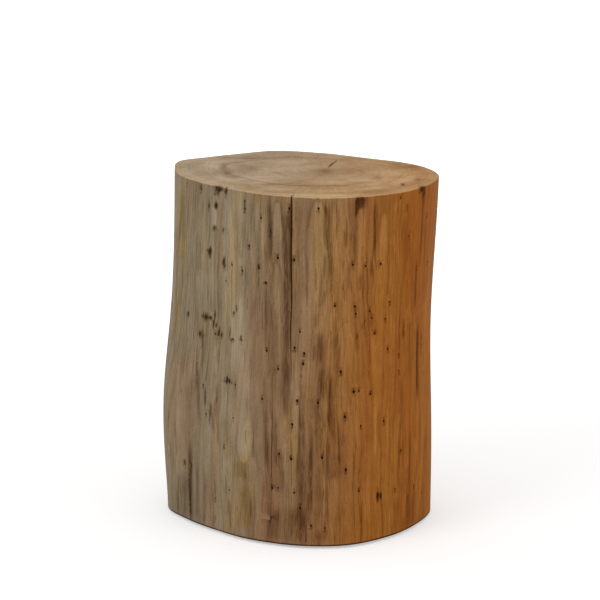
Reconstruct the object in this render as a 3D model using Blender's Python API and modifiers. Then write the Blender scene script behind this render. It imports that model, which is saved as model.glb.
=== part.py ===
"""Block stool: one sawn length of tree trunk, stripped of its bark and sanded, on four screwed felt glides.

Metres, +Z up. The origin lies on the floor, under the middle of the trunk's plan box. A bearing is an
angle seen from above, in degrees: 0 is the stool's right (+X), 90 its back (+Y) and 270 its front.
"""

import math

import bmesh
import bpy
import numpy as np
from mathutils import Matrix, Vector

# Trunk: the nominal radius and length that its sections are shares of
TRUNK_RADIUS = 0.170
TRUNK_LENGTH = 0.447
SEAT_ARRIS = 0.0045
FOOT_ARRIS = 0.0025
COLUMNS = 72
ROWS = 18
ARRIS_SEGMENTS = 3

# The trunk's outline at its two sawn ends: (bearing, share of the radius), joined by a smooth curve
FOOT_OUTLINE_SHARES = (
    (0, 0.98), (35, 0.93), (65, 0.90), (95, 0.96), (125, 1.00), (155, 1.05), (180, 1.025),
    (198, 0.93), (222, 0.885), (248, 0.94), (285, 1.045), (310, 0.995), (333, 0.965),
)
SEAT_OUTLINE_SHARES = (
    (0, 1.025), (22, 0.94), (52, 0.822), (80, 0.877), (104, 0.99), (121, 0.975), (137, 1.02),
    (150, 1.08), (164, 1.03), (181, 0.945), (203, 0.845), (225, 0.805), (248, 0.86),
    (285, 0.96), (310, 1.02), (330, 1.025), (345, 1.025),
)
# Where it swells or draws in between them: bearing, height share, degrees round, share up, rise share
SWELL_SHARES = (
    (180, 0.30, 45, 0.27, 0.07),
    (0, 0.58, 50, 0.28, -0.038),
    (90, 0.62, 45, 0.20, 0.025),
    (265, 0.45, 40, 0.30, -0.012),
)

# Drying checks: V-shaped splits in the planes of the rays, widest at the surface and at a sawn end.
# Each has a bearing, the height shares of its top and its foot, and a share of the size below.
CHECK_MOUTH = 0.0022
CHECK_DEPTH = 0.034
CHECK_WANDER = 0.0010
CHECK_STEPS = 12
CHECK_TIP_SHARE = 0.2
SIDE_CHECK_SHARES = (
    (263.5, 1.00, 0.48, 1.0), (255, 0.46, 0.06, 0.5), (332, 0.58, 0.38, 0.55), (323, 0.16, 0.00, 0.6),
    (36, 1.00, 0.74, 0.7), (98, 0.33, 0.00, 0.6), (143, 0.66, 0.40, 0.5),
)

# The pith lies off the middle of the trunk; a heart check lies beside it in each ray that has opened
PITH_X = 0.026
PITH_Y = 0.018
HEART_CHECK_LENGTH = 0.050
HEART_CHECK_WIDTH = 0.0022
HEART_CHECK_DEPTH = 0.030
HEART_CHECK_START = 0.024
SEAT_CHECK_BEARINGS = (78,)
FOOT_CHECK_BEARINGS = (25, 150, 262)

# Exit holes that wood beetles left in the sapwood: (bearing, height share)
EXIT_HOLE_DIAMETER = 0.0026
EXIT_HOLE_DEPTH = 0.008
EXIT_HOLE_SIDES = 8
EXIT_HOLE_PLACE_SHARES = (
    (238, 0.96), (248, 0.93), (277, 0.97), (229, 0.78), (237, 0.77), (258, 0.83), (292, 0.81),
    (321, 0.87), (340, 0.77), (300, 0.66), (308, 0.64), (232, 0.65), (270, 0.56), (286, 0.50),
    (211, 0.42), (195, 0.38), (292, 0.44), (309, 0.55), (233, 0.34), (307, 0.34), (227, 0.25),
    (288, 0.22), (231, 0.13), (294, 0.15), (14, 0.72), (27, 0.31), (52, 0.55), (61, 0.20),
    (83, 0.86), (109, 0.62), (118, 0.24), (129, 0.81), (152, 0.17), (161, 0.58), (173, 0.88),
)

# Glides: a nylon cup with a felt disc, let into a pocket of the sawn foot and held by one screw
GLIDE_COUNT = 4
GLIDE_FIRST_BEARING = 45
GLIDE_INSET = 0.045
GLIDE_STANDOFF = 0.003
POCKET_DEPTH = 0.006
POCKET_CLEARANCE = 0.001
CUP_DIAMETER = 0.030
CUP_WALL = 0.0022
CUP_FLOOR = 0.003
CUP_CHAMFER = 0.0006
FELT_PROUD = 0.0015
FELT_EYE_CLEARANCE = 0.002
SCREW_LENGTH = 0.025
SCREW_DIAMETER = 0.0042
SCREW_TIP_LENGTH = 0.006
SCREW_HEAD_DIAMETER = 0.008
RECESS_SPAN = 0.0046
RECESS_BLADE = 0.001
RECESS_DEPTH = 0.0013
RECESS_END_SHARE = 0.5
PILOT_SPARE_DEPTH = 0.002
TURNED_STEPS = 28

# Working values: the gap kept between faces that touch, how far a cutter runs past, a weld distance
# and, in degrees, a whole turn and the sharpest edge that is still shaded smooth
FIT_GAP = 0.0003
CUT_OVERRUN = 0.004
WELD_DISTANCE = 0.00001
FULL_TURN = 360
SMOOTH_ANGLE = 35

# Levels above the floor that follow from the glides
FOOT_Z = GLIDE_STANDOFF
SEAT_Z = FOOT_Z + TRUNK_LENGTH
POCKET_ROOF_Z = FOOT_Z + POCKET_DEPTH
CUP_TOP_Z = POCKET_ROOF_Z - FIT_GAP
CUP_FLOOR_Z = CUP_TOP_Z - CUP_FLOOR
FELT_TOP_Z = CUP_FLOOR_Z - FIT_GAP
SCREW_TIP_Z = CUP_FLOOR_Z + SCREW_LENGTH


# Scene, collections and materials


def clear_scene():
    for old in list(bpy.data.objects):
        bpy.data.objects.remove(old)


def new_collection(name):
    made = bpy.data.collections.new(name)
    bpy.context.scene.collection.children.link(made)
    return made


def new_material(name, colour, roughness, metallic):
    made = bpy.data.materials.new(name)
    made.use_nodes = True
    shader = made.node_tree.nodes["Principled BSDF"]
    shader.inputs["Base Color"].default_value = (*colour, 1)
    shader.inputs["Roughness"].default_value = roughness
    shader.inputs["Metallic"].default_value = metallic
    return made


def new_object(name, mesh, collection, parent=None):
    made = bpy.data.objects.new(name, mesh)
    made.parent = parent
    collection.objects.link(made)
    return made


def new_cutter(name, mesh, collection):
    made = new_object(name, mesh, collection)
    made.display_type = "WIRE"
    made.hide_render = True
    return made


def mesh_of(bm, name):
    bmesh.ops.recalc_face_normals(bm, faces=bm.faces)
    made = bpy.data.meshes.new(name)
    bm.to_mesh(made)
    bm.free()
    return made


# The trunk's shape, as a radius for any bearing and height share


def slopes(knots, values):
    """The slope at each knot of a smooth curve, from its two neighbours."""
    return (values[2:] - values[:-2]) / (knots[2:] - knots[:-2])


def curve_between(knots, values, at):
    """A smooth curve through the points, read at `at`. The first and last points only set end slopes."""
    tangent = slopes(knots, values)
    inner, height = knots[1:-1], values[1:-1]
    start = np.clip(np.searchsorted(inner, at, side="right") - 1, 0, len(inner) - 2)
    span = inner[start + 1] - inner[start]
    t = (at - inner[start]) / span
    rise = height[start + 1] - height[start]
    in_slope, out_slope = tangent[start] * span, tangent[start + 1] * span
    square, cube = t * t, t * t * t
    return height[start] + in_slope * t + (3 * rise - 2 * in_slope - out_slope) * square + (
        in_slope + out_slope - 2 * rise
    ) * cube


def outline_shares(places, bearings):
    """One sawn end's radius shares at the given bearings, which wrap at a full turn."""
    angle = np.array([bearing for bearing, share in places], float)
    share = np.array([share for bearing, share in places])
    knots = np.concatenate([angle[-2:] - FULL_TURN, angle, angle[:3] + FULL_TURN])
    values = np.concatenate([share[-2:], share, share[:3]])
    return curve_between(knots, values, np.mod(bearings, FULL_TURN))


def trunk_radius(bearings, height_share):
    """Distance from the plan's pole to the trunk's surface, in metres, at one height."""
    foot = outline_shares(FOOT_OUTLINE_SHARES, bearings)
    seat = outline_shares(SEAT_OUTLINE_SHARES, bearings)
    shares = foot + (seat - foot) * height_share
    for bearing, middle, round_it, up_it, rise in SWELL_SHARES:
        turned = (bearings - bearing + FULL_TURN / 2) % FULL_TURN - FULL_TURN / 2
        climbed = (height_share - middle) / up_it
        shares = shares + rise * np.exp(-((turned / round_it) ** 2) - climbed**2)
    return TRUNK_RADIUS * shares


def trunk_ring(height_share, pole):
    """The points round the trunk at one height, counted from bearing 0, in metres."""
    bearings = np.arange(COLUMNS) * FULL_TURN / COLUMNS
    radius = trunk_radius(bearings, height_share)
    angle = np.radians(bearings)
    z = np.full(COLUMNS, FOOT_Z + TRUNK_LENGTH * height_share)
    return np.column_stack([pole.x + radius * np.cos(angle), pole.y + radius * np.sin(angle), z])


def plan_pole():
    """Where the sections' common pole goes, so that the trunk's plan box is centred on the origin."""
    rings = np.vstack([trunk_ring(row / ROWS, Vector((0, 0, 0))) for row in range(ROWS + 1)])
    low, high = rings.min(axis=0), rings.max(axis=0)
    return Vector((-(low[0] + high[0]) / 2, -(low[1] + high[1]) / 2, 0))


def surface_point(bearing, height_share, pole, outwards=0.0):
    """A point on the trunk's surface, or `outwards` metres off it along the bearing."""
    radius = trunk_radius(np.array([bearing]), height_share)[0] + outwards
    angle = math.radians(bearing)
    return pole + Vector(
        (radius * math.cos(angle), radius * math.sin(angle), FOOT_Z + TRUNK_LENGTH * height_share)
    )


# The trunk: a loft through its sections, with both sawn ends


def loft_trunk(pole):
    bm = bmesh.new()
    rings = []
    for row in range(ROWS + 1):
        rings.append([bm.verts.new(point) for point in trunk_ring(row / ROWS, pole)])
    for lower, upper in zip(rings, rings[1:]):
        for i in range(COLUMNS):
            j = (i + 1) % COLUMNS
            bm.faces.new((lower[i], lower[j], upper[j], upper[i]))
    bm.faces.new(reversed(rings[0]))
    bm.faces.new(rings[-1])
    return mesh_of(bm, "trunk_block")


def add_arris(trunk, name, first_vertex, width):
    """Rounds one sawn end's rim: the vertices of its ring make the group that Bevel is limited to."""
    rim = trunk.vertex_groups.new(name=name)
    rim.add(list(range(first_vertex, first_vertex + COLUMNS)), 1, "REPLACE")
    bevel = trunk.modifiers.new(name, "BEVEL")
    bevel.limit_method = "VGROUP"
    bevel.vertex_group = name
    bevel.width = width
    bevel.segments = ARRIS_SEGMENTS


def add_cut(trunk, cutter):
    cut = trunk.modifiers.new(cutter.name, "BOOLEAN")
    cut.operation = "DIFFERENCE"
    cut.solver = "EXACT"
    cut.object = cutter


# Drying checks


def check_opening(run, top_share, foot_share):
    """How open a check is, from 1 down to its tip share, `run` of the way from its top to its foot."""
    if top_share == 1:
        opening = 1 - run
    elif foot_share == 0:
        opening = run
    else:
        opening = 1 - abs(2 * run - 1)
    return max(opening, CHECK_TIP_SHARE)


def add_side_check(bm, bearing, top_share, foot_share, size_share, pole):
    """A wedge down the trunk's side, which wanders with the grain. It runs out past a sawn end."""
    first = -1 if top_share == 1 else 0
    last = CHECK_STEPS + 1 if foot_share == 0 else CHECK_STEPS
    sections = []
    for step in range(first, last + 1):
        run = min(max(step, 0), CHECK_STEPS) / CHECK_STEPS
        opening = check_opening(run, top_share, foot_share) * size_share
        height = top_share + (foot_share - top_share) * run
        sideways = CHECK_WANDER * math.sin(run * 2 * math.pi)
        facing = bearing + math.degrees(sideways / TRUNK_RADIUS)
        depth = CHECK_DEPTH * opening
        mouth = CHECK_MOUTH * opening * (depth + CUT_OVERRUN) / depth
        inner = surface_point(facing, height, pole, -depth)
        outer = surface_point(facing, height, pole, CUT_OVERRUN)
        across = Vector((-math.sin(math.radians(facing)), math.cos(math.radians(facing)), 0)) * mouth / 2
        past = Vector((0, 0, CUT_OVERRUN if step < 0 else -CUT_OVERRUN if step > CHECK_STEPS else 0))
        sections.append([bm.verts.new(corner + past) for corner in (inner, outer - across, outer + across)])
    for upper, lower in zip(sections, sections[1:]):
        for i in range(len(upper)):
            bm.faces.new((upper[i], upper[i - 1], lower[i - 1], lower[i]))
    bm.faces.new(sections[0])
    bm.faces.new(sections[-1])


def side_check_mesh(pole):
    bm = bmesh.new()
    for bearing, top_share, foot_share, size_share in SIDE_CHECK_SHARES:
        add_side_check(bm, bearing, top_share, foot_share, size_share, pole)
    return mesh_of(bm, "side_check_cutter")


def add_heart_check(bm, bearing, face_z, into, pole):
    """A four-sided spike: a slit along one ray from the pith, closing at its ends and into the wood."""
    corners = 4
    height = HEART_CHECK_DEPTH + CUT_OVERRUN
    spike = bmesh.ops.create_cone(
        bm, cap_ends=True, segments=corners, radius1=height / HEART_CHECK_DEPTH / 2, radius2=0, depth=1
    )
    away = HEART_CHECK_START + HEART_CHECK_LENGTH / 2
    x = pole.x + PITH_X + away * math.cos(math.radians(bearing))
    y = pole.y + PITH_Y + away * math.sin(math.radians(bearing))
    middle = Matrix.Translation((x, y, face_z + into * (HEART_CHECK_DEPTH - CUT_OVERRUN) / 2))
    turn = Matrix.Rotation(math.radians(bearing), 4, "Z")
    point = Matrix.Rotation(0 if into > 0 else math.pi, 4, "X")
    full_size = Matrix.Diagonal((HEART_CHECK_LENGTH, HEART_CHECK_WIDTH, height, 1))
    bmesh.ops.transform(bm, matrix=middle @ turn @ point @ full_size, verts=spike["verts"])


def heart_check_mesh(pole):
    bm = bmesh.new()
    for bearing in SEAT_CHECK_BEARINGS:
        add_heart_check(bm, bearing, SEAT_Z, -1, pole)
    for bearing in FOOT_CHECK_BEARINGS:
        add_heart_check(bm, bearing, FOOT_Z, 1, pole)
    return mesh_of(bm, "heart_check_cutter")


# Exit holes


def exit_hole_mesh(pole):
    bm = bmesh.new()
    for bearing, height_share in EXIT_HOLE_PLACE_SHARES:
        drill = bmesh.ops.create_cone(
            bm,
            cap_ends=True,
            segments=EXIT_HOLE_SIDES,
            radius1=EXIT_HOLE_DIAMETER / 2,
            radius2=EXIT_HOLE_DIAMETER / 2,
            depth=EXIT_HOLE_DEPTH + CUT_OVERRUN,
        )
        middle = surface_point(bearing, height_share, pole, (CUT_OVERRUN - EXIT_HOLE_DEPTH) / 2)
        inwards = Matrix.Rotation(math.pi / 2, 4, "Y")
        turn = Matrix.Rotation(math.radians(bearing), 4, "Z")
        bmesh.ops.transform(
            bm, matrix=Matrix.Translation(middle) @ turn @ inwards, verts=drill["verts"]
        )
    return mesh_of(bm, "exit_hole_cutter")


# Turned pieces, spun from a profile with a Screw modifier


def turned_mesh(name, profile, closed):
    """Spins (radius, z) points round Z. The profile runs down its outer side, from top to bottom."""
    bm = bmesh.new()
    points = [bm.verts.new((radius, 0, z)) for radius, z in profile]
    for first, second in zip(points, points[1:]):
        bm.edges.new((first, second))
    if closed:
        bm.edges.new((points[-1], points[0]))
    line = bpy.data.meshes.new(name)
    bm.to_mesh(line)
    bm.free()
    spun = new_object(name, line, bpy.context.scene.collection)
    screw = spun.modifiers.new("spin", "SCREW")
    screw.steps = TURNED_STEPS
    screw.render_steps = TURNED_STEPS
    screw.use_merge_vertices = True
    screw.merge_threshold = WELD_DISTANCE
    made = finished_mesh(spun)
    bpy.data.meshes.remove(line)
    return made


def finished_mesh(source):
    """The object's mesh with its modifiers applied. The object itself is removed."""
    bpy.context.view_layer.update()
    evaluated = source.evaluated_get(bpy.context.evaluated_depsgraph_get())
    made = bpy.data.meshes.new_from_object(evaluated)
    made.name = source.name
    bpy.data.objects.remove(source)
    return made


def shade(mesh, material):
    mesh.materials.clear()
    mesh.materials.append(material)
    mesh.shade_smooth()
    mesh.set_sharp_from_angle(angle=math.radians(SMOOTH_ANGLE))


# One glide: its pocket in the foot, nylon cup, felt disc and screw


def pocket_mesh():
    """The pocket with its pilot hole above, as a turned cutter."""
    pocket_radius = CUP_DIAMETER / 2 + POCKET_CLEARANCE
    pilot_radius = SCREW_DIAMETER / 2 + FIT_GAP
    pilot_end = SCREW_TIP_Z + PILOT_SPARE_DEPTH
    return turned_mesh(
        "glide_pocket_cutter",
        (
            (0, pilot_end),
            (pilot_radius, pilot_end - pilot_radius),
            (pilot_radius, POCKET_ROOF_Z),
            (pocket_radius, POCKET_ROOF_Z),
            (pocket_radius, FOOT_Z - CUT_OVERRUN),
            (0, FOOT_Z - CUT_OVERRUN),
        ),
        closed=False,
    )


def cup_mesh(nylon):
    outer = CUP_DIAMETER / 2
    inner = outer - CUP_WALL
    hole = SCREW_DIAMETER / 2 + FIT_GAP
    sink = SCREW_HEAD_DIAMETER / 2 + FIT_GAP
    made = turned_mesh(
        "glide_cup",
        (
            (hole, CUP_TOP_Z),
            (outer - CUP_CHAMFER, CUP_TOP_Z),
            (outer, CUP_TOP_Z - CUP_CHAMFER),
            (outer, FELT_PROUD + CUP_CHAMFER),
            (outer - CUP_CHAMFER, FELT_PROUD),
            (inner + CUP_CHAMFER, FELT_PROUD),
            (inner, FELT_PROUD + CUP_CHAMFER),
            (inner, CUP_FLOOR_Z),
            (sink, CUP_FLOOR_Z),
            (hole, CUP_FLOOR_Z + sink - hole),
        ),
        closed=True,
    )
    shade(made, nylon)
    return made


def felt_mesh(felt):
    outer = CUP_DIAMETER / 2 - CUP_WALL - FIT_GAP
    eye = SCREW_HEAD_DIAMETER / 2 + FELT_EYE_CLEARANCE
    made = turned_mesh(
        "glide_felt", ((eye, FELT_TOP_Z), (outer, FELT_TOP_Z), (outer, 0), (eye, 0)), closed=True
    )
    shade(made, felt)
    return made


def recess_cutter(name, bearing, collection):
    """One blade of the cross recess: a bar that narrows as it goes into the screw's head."""
    bm = bmesh.new()
    bmesh.ops.create_cube(bm, size=1)
    for corner in bm.verts:
        if corner.co.z > 0:
            corner.co.x *= RECESS_END_SHARE
    size = Vector((RECESS_SPAN, RECESS_BLADE, RECESS_DEPTH + CUT_OVERRUN))
    middle = CUP_FLOOR_Z + (RECESS_DEPTH - CUT_OVERRUN) / 2
    turn = Matrix.Rotation(math.radians(bearing), 4, "Z")
    bmesh.ops.transform(
        bm,
        matrix=Matrix.Translation((0, 0, middle)) @ turn @ Matrix.Diagonal((*size, 1)),
        verts=bm.verts,
    )
    return new_cutter(name, mesh_of(bm, name), collection)


def screw_mesh(steel, cutters):
    """A countersunk wood screw, head down. Its thread is left plain."""
    shank = SCREW_DIAMETER / 2
    head = SCREW_HEAD_DIAMETER / 2
    blank = turned_mesh(
        "glide_screw",
        (
            (0, SCREW_TIP_Z),
            (shank, SCREW_TIP_Z - SCREW_TIP_LENGTH),
            (shank, CUP_FLOOR_Z + head - shank),
            (head, CUP_FLOOR_Z),
            (0, CUP_FLOOR_Z),
        ),
        closed=False,
    )
    whole = new_object("glide_screw", blank, bpy.context.scene.collection)
    blades = [recess_cutter(f"recess_blade_{bearing}", bearing, cutters) for bearing in (0, 90)]
    for blade in blades:
        add_cut(whole, blade)
    made = finished_mesh(whole)
    for blade in blades:
        bpy.data.objects.remove(blade)
    shade(made, steel)
    return made


def glide_seats(pole, collection):
    """An empty on the floor under each glide, an inset in from the trunk's edge, to carry its pieces."""
    seats = []
    for number in range(GLIDE_COUNT):
        bearing = GLIDE_FIRST_BEARING + number * FULL_TURN / GLIDE_COUNT
        edge = surface_point(bearing, 0, pole, -GLIDE_INSET)
        seat = new_object(f"glide_seat_{number + 1}", None, collection)
        seat.location = (edge.x, edge.y, 0)
        seats.append(seat)
    return seats


# Assembly


def build():
    clear_scene()
    stool = new_collection("block_stool")
    cutters = new_collection("cutters")
    wood = new_material("sanded_trunk_wood", (0.27, 0.14, 0.055), 0.55, 0)
    nylon = new_material("brown_nylon", (0.035, 0.022, 0.015), 0.45, 0)
    felt = new_material("grey_felt", (0.12, 0.11, 0.10), 0.95, 0)
    steel = new_material("zinc_plated_steel", (0.55, 0.55, 0.53), 0.35, 1)

    pole = plan_pole()
    trunk = new_object("trunk_block", loft_trunk(pole), stool)
    shade(trunk.data, wood)
    add_arris(trunk, "foot_rim", 0, FOOT_ARRIS)
    add_arris(trunk, "seat_rim", ROWS * COLUMNS, SEAT_ARRIS)
    add_cut(trunk, new_cutter("side_check_cutter", side_check_mesh(pole), cutters))
    add_cut(trunk, new_cutter("heart_check_cutter", heart_check_mesh(pole), cutters))
    add_cut(trunk, new_cutter("exit_hole_cutter", exit_hole_mesh(pole), cutters))

    pocket = pocket_mesh()
    cup, disc, screw = cup_mesh(nylon), felt_mesh(felt), screw_mesh(steel, cutters)
    for number, seat in enumerate(glide_seats(pole, stool), start=1):
        cutter = new_cutter(f"glide_pocket_cutter_{number}", pocket, cutters)
        cutter.parent = seat
        add_cut(trunk, cutter)
        new_object(f"glide_cup_{number}", cup, stool, seat)
        new_object(f"glide_felt_{number}", disc, stool, seat)
        new_object(f"glide_screw_{number}", screw, stool, seat)


build()
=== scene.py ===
"""The looks of a block stool: one sanded length of tree trunk on four screwed felt glides.

Metres, +Z up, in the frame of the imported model. A bearing is an angle seen from above, in degrees:
0 is the stool's right (+X), 90 its back (+Y) and 270 its front.
"""

import math
import random

import bmesh
import bpy
import numpy as np
from mathutils import Matrix, Vector, noise


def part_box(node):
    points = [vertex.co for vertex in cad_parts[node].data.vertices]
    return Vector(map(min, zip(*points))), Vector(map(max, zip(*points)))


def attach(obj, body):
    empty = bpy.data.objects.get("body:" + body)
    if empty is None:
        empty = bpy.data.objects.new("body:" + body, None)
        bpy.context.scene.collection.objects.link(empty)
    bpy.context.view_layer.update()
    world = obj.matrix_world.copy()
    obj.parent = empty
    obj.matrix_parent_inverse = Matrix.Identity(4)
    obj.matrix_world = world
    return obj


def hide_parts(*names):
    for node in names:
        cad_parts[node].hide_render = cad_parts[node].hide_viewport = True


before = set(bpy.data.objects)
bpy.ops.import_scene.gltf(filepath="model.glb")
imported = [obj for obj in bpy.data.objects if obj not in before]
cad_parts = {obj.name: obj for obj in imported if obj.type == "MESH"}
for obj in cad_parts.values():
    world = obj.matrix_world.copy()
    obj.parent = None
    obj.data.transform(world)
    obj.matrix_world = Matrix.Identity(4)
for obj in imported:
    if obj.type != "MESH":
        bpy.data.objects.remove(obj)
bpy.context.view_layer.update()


# The view
# A long lens looks down a little on the stool from the front. Marks on the wood are placed through it:
# their places are pixels read off a 600 x 600 picture.

PICTURE = 600
SENSOR = 36.0
LENS = 213.6
EYE = Vector((0.0003, -4.4866, 1.3247))
EYE_TILT = math.radians(76.945)


def placed(name, data):
    """A new object in the scene, made from a camera, a mesh or a lamp."""
    made = bpy.data.objects.new(name, data)
    bpy.context.scene.collection.objects.link(made)
    return made


camera = placed("camera", bpy.data.cameras.new("camera"))
bpy.context.scene.camera = camera
camera.location = EYE
camera.rotation_euler = (EYE_TILT, 0, 0)
camera.data.lens = LENS
camera.data.sensor_width = SENSOR
camera.data.clip_end = 100


def pixels_of(points):
    """Where points land in the picture, as two arrays of pixels: across and down."""
    look = np.array(Matrix.Rotation(EYE_TILT, 3, "X"))
    seen = (np.asarray(points) - np.array(EYE)) @ look
    scale = LENS / SENSOR * PICTURE / -seen[..., 2]
    return PICTURE / 2 + seen[..., 0] * scale, PICTURE / 2 - seen[..., 1] * scale


# The trunk
# One length of a fast-grown tree, stripped of its bark, sawn square at both ends and sanded by hand.
# Its outline, its slow swells and its softened rims are the tree's own and the sander's.

TRUNK_RADIUS = 0.170
BACK_COLUMNS = 132
FRONT_COLUMNS = 288
COLUMNS = BACK_COLUMNS + FRONT_COLUMNS
SIDE_ROWS = 144
RIM_ROWS = 4
SEAT_RINGS = 44
FOOT_RINGS = 24
HUB_SHARE = 0.03
SEAT_ARRIS = 0.0026
FOOT_ARRIS = 0.0025
# bearing, share of the radius
FOOT_OUTLINE_SHARES = (
    (0, 0.98), (35, 0.93), (65, 0.90), (95, 0.96), (125, 1.00), (155, 1.05), (180, 1.025),
    (198, 0.93), (222, 0.885), (248, 0.94), (285, 1.045), (310, 0.995), (333, 0.965),
)
SEAT_OUTLINE_SHARES = (
    (0, 1.025), (22, 0.955), (52, 0.822), (80, 0.877), (104, 0.99), (121, 0.975), (137, 1.02),
    (150, 1.10), (164, 1.028), (181, 0.94), (203, 0.83), (225, 0.78), (248, 0.83),
    (285, 0.93), (310, 0.995), (330, 1.015), (345, 1.025),
)
# bearing, height share, degrees round, share up, rise share
SWELL_SHARES = (
    (180, 0.30, 45, 0.27, 0.07),
    (0, 0.58, 50, 0.28, -0.038),
    (90, 0.62, 45, 0.20, 0.025),
    (265, 0.45, 40, 0.30, -0.012),
)
PITH = Vector((0.026, 0.018, 0))

foot_corner, seat_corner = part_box("trunk_block")
FOOT_Z, SEAT_Z = foot_corner.z, seat_corner.z
TRUNK_LENGTH = SEAT_Z - FOOT_Z


def rounded(places, bearings):
    """Shares of the radius at these bearings, on a smooth closed curve through (bearing, share) places."""
    angle = np.array([bearing for bearing, share in places], float)
    share = np.array([share for bearing, share in places])
    knots = np.concatenate([angle[-2:] - 360, angle, angle[:3] + 360])
    values = np.concatenate([share[-2:], share, share[:3]])
    tangent = (values[2:] - values[:-2]) / (knots[2:] - knots[:-2])
    inner, height = knots[1:-1], values[1:-1]
    start = np.clip(np.searchsorted(inner, bearings % 360, side="right") - 1, 0, len(inner) - 2)
    span = inner[start + 1] - inner[start]
    t = (bearings % 360 - inner[start]) / span
    rise = height[start + 1] - height[start]
    leave, arrive = tangent[start] * span, tangent[start + 1] * span
    bend = (3 * rise - 2 * leave - arrive) * t**2 + (leave + arrive - 2 * rise) * t**3
    return height[start] + leave * t + bend


def turn_between(bearings, middle):
    """How far each bearing is from the middle one, from -180 to 180."""
    return (bearings - middle + 180) % 360 - 180


def trunk_radius(bearings, height_share):
    foot = rounded(FOOT_OUTLINE_SHARES, bearings)
    shares = foot + (rounded(SEAT_OUTLINE_SHARES, bearings) - foot) * height_share
    for bearing, middle, round_it, up_it, rise in SWELL_SHARES:
        turned = turn_between(bearings, bearing) / round_it
        shares = shares + rise * np.exp(-(turned**2) - ((height_share - middle) / up_it) ** 2)
    return TRUNK_RADIUS * shares


def bearing_at(column):
    """The bearing of a column, which may have a fraction. The front has finer columns than the back."""
    turns = np.floor(np.asarray(column) / COLUMNS)
    inside = np.interp(column - turns * COLUMNS, (0, BACK_COLUMNS, COLUMNS), (0, 180, 360))
    return inside + turns * 360


def column_at(bearing):
    """The column, with its fraction, that stands at a bearing."""
    return float(np.interp(bearing % 360, (0, 180, 360), (0, BACK_COLUMNS, COLUMNS)))


def find_pole():
    """The axis that bearings are measured about, so that the trunk fills the box of its CAD solid."""
    bearings = np.arange(360.0)
    radius = np.array([trunk_radius(bearings, row / SIDE_ROWS) for row in range(SIDE_ROWS + 1)])
    x, y = radius * np.cos(np.radians(bearings)), radius * np.sin(np.radians(bearings))
    middle = (foot_corner + seat_corner) / 2
    return Vector((middle.x - (x.min() + x.max()) / 2, middle.y - (y.min() + y.max()) / 2, 0))


POLE = find_pole()

# The skin is one grid of columns round the trunk. Its rows climb from the pith of the foot out to the
# rim, up the side and in over the seat to the pith again. Each row has a part of the trunk, and a share
# of the way through that part, or on the sawn ends of the way out from the pith.
FOOT, FOOT_RIM, SIDE, SEAT_RIM, SEAT = range(5)
rows = [(FOOT, HUB_SHARE + (1 - HUB_SHARE) * ring / FOOT_RINGS) for ring in range(FOOT_RINGS)]
rows += [(FOOT_RIM, step / RIM_ROWS) for step in range(RIM_ROWS)]
rows += [(SIDE, row / SIDE_ROWS) for row in range(SIDE_ROWS + 1)]
rows += [(SEAT_RIM, step / RIM_ROWS) for step in range(1, RIM_ROWS + 1)]
rows += [(SEAT, 1 - (1 - HUB_SHARE) * ring / SEAT_RINGS) for ring in range(1, SEAT_RINGS + 1)]
row_part = np.array([[part] for part, share in rows])
row_share = np.array([[share] for part, share in rows])
on_ends = np.isin(row_part, (FOOT, SEAT))
first_side = int(np.argmax(row_part == SIDE))
first_seat = int(np.argmax(row_part == SEAT))
plain_bearing = bearing_at(np.arange(COLUMNS))
bearing = np.tile(plain_bearing, (len(rows), 1))
depth = np.zeros_like(bearing)


# Drying checks
# The wood shrank more round its rings than across them, and split along the rays. Each split is a
# V-shaped groove that five columns of the skin follow: two edges, two walls and a bottom.

CHECK_REACH = 8
GROOVE_REACH = 2
LEAST_MOUTH = 0.0002
TIP_TAPER = 2.5
LOW_END_SHARE = 0.35
SEAT_RUN_SHARE = 0.09
FOOT_RUN_SHARE = 0.15
# bearing, first and last height share, mouth, depth, wander
SIDE_CHECKS = (
    (264.0, 0.46, 1.00, 0.0028, 0.0052, 0.0026),
    (255.0, 0.05, 0.46, 0.0009, 0.005, 0.0012),
    (331.6, 0.38, 0.59, 0.0010, 0.006, 0.0008),
    (322.8, 0.00, 0.18, 0.0009, 0.005, 0.0006),
    (36.0, 0.72, 1.00, 0.0018, 0.012, 0.0012),
    (98.0, 0.00, 0.34, 0.0016, 0.010, 0.0012),
    (143.0, 0.40, 0.66, 0.0010, 0.006, 0.0010),
    (189.0, 0.55, 0.74, 0.0007, 0.003, 0.0008),
)


def follow_check(row, middle, arm, drawn, mouth, deep):
    """Draws the columns near a check towards it on one row, and sinks the middle ones.

    The row lies an arm's length from the pith. Drawn is 1 where the columns follow the check fully.
    """
    centre = int(round(column_at(middle)))
    edge = math.degrees(1 / arm) * (mouth + LEAST_MOUTH) / 2
    reach = bearing_at(centre + CHECK_REACH) - bearing_at(centre)
    for offset in range(-CHECK_REACH, CHECK_REACH + 1):
        column = (centre + offset) % COLUMNS
        plain = bearing_at(centre + offset)
        if abs(offset) <= GROOVE_REACH:
            wanted = middle + edge * offset / GROOVE_REACH
        else:
            run = (abs(offset) - GROOVE_REACH) / (CHECK_REACH - GROOVE_REACH)
            far = middle + math.copysign(edge + (reach - edge) * run, offset)
            wanted = far + (plain - far) * run
        bearing[row, column] = plain + (wanted - plain) * drawn
        depth[row, column] += deep * max(0.0, 1 - abs(offset) / GROOVE_REACH)


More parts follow.
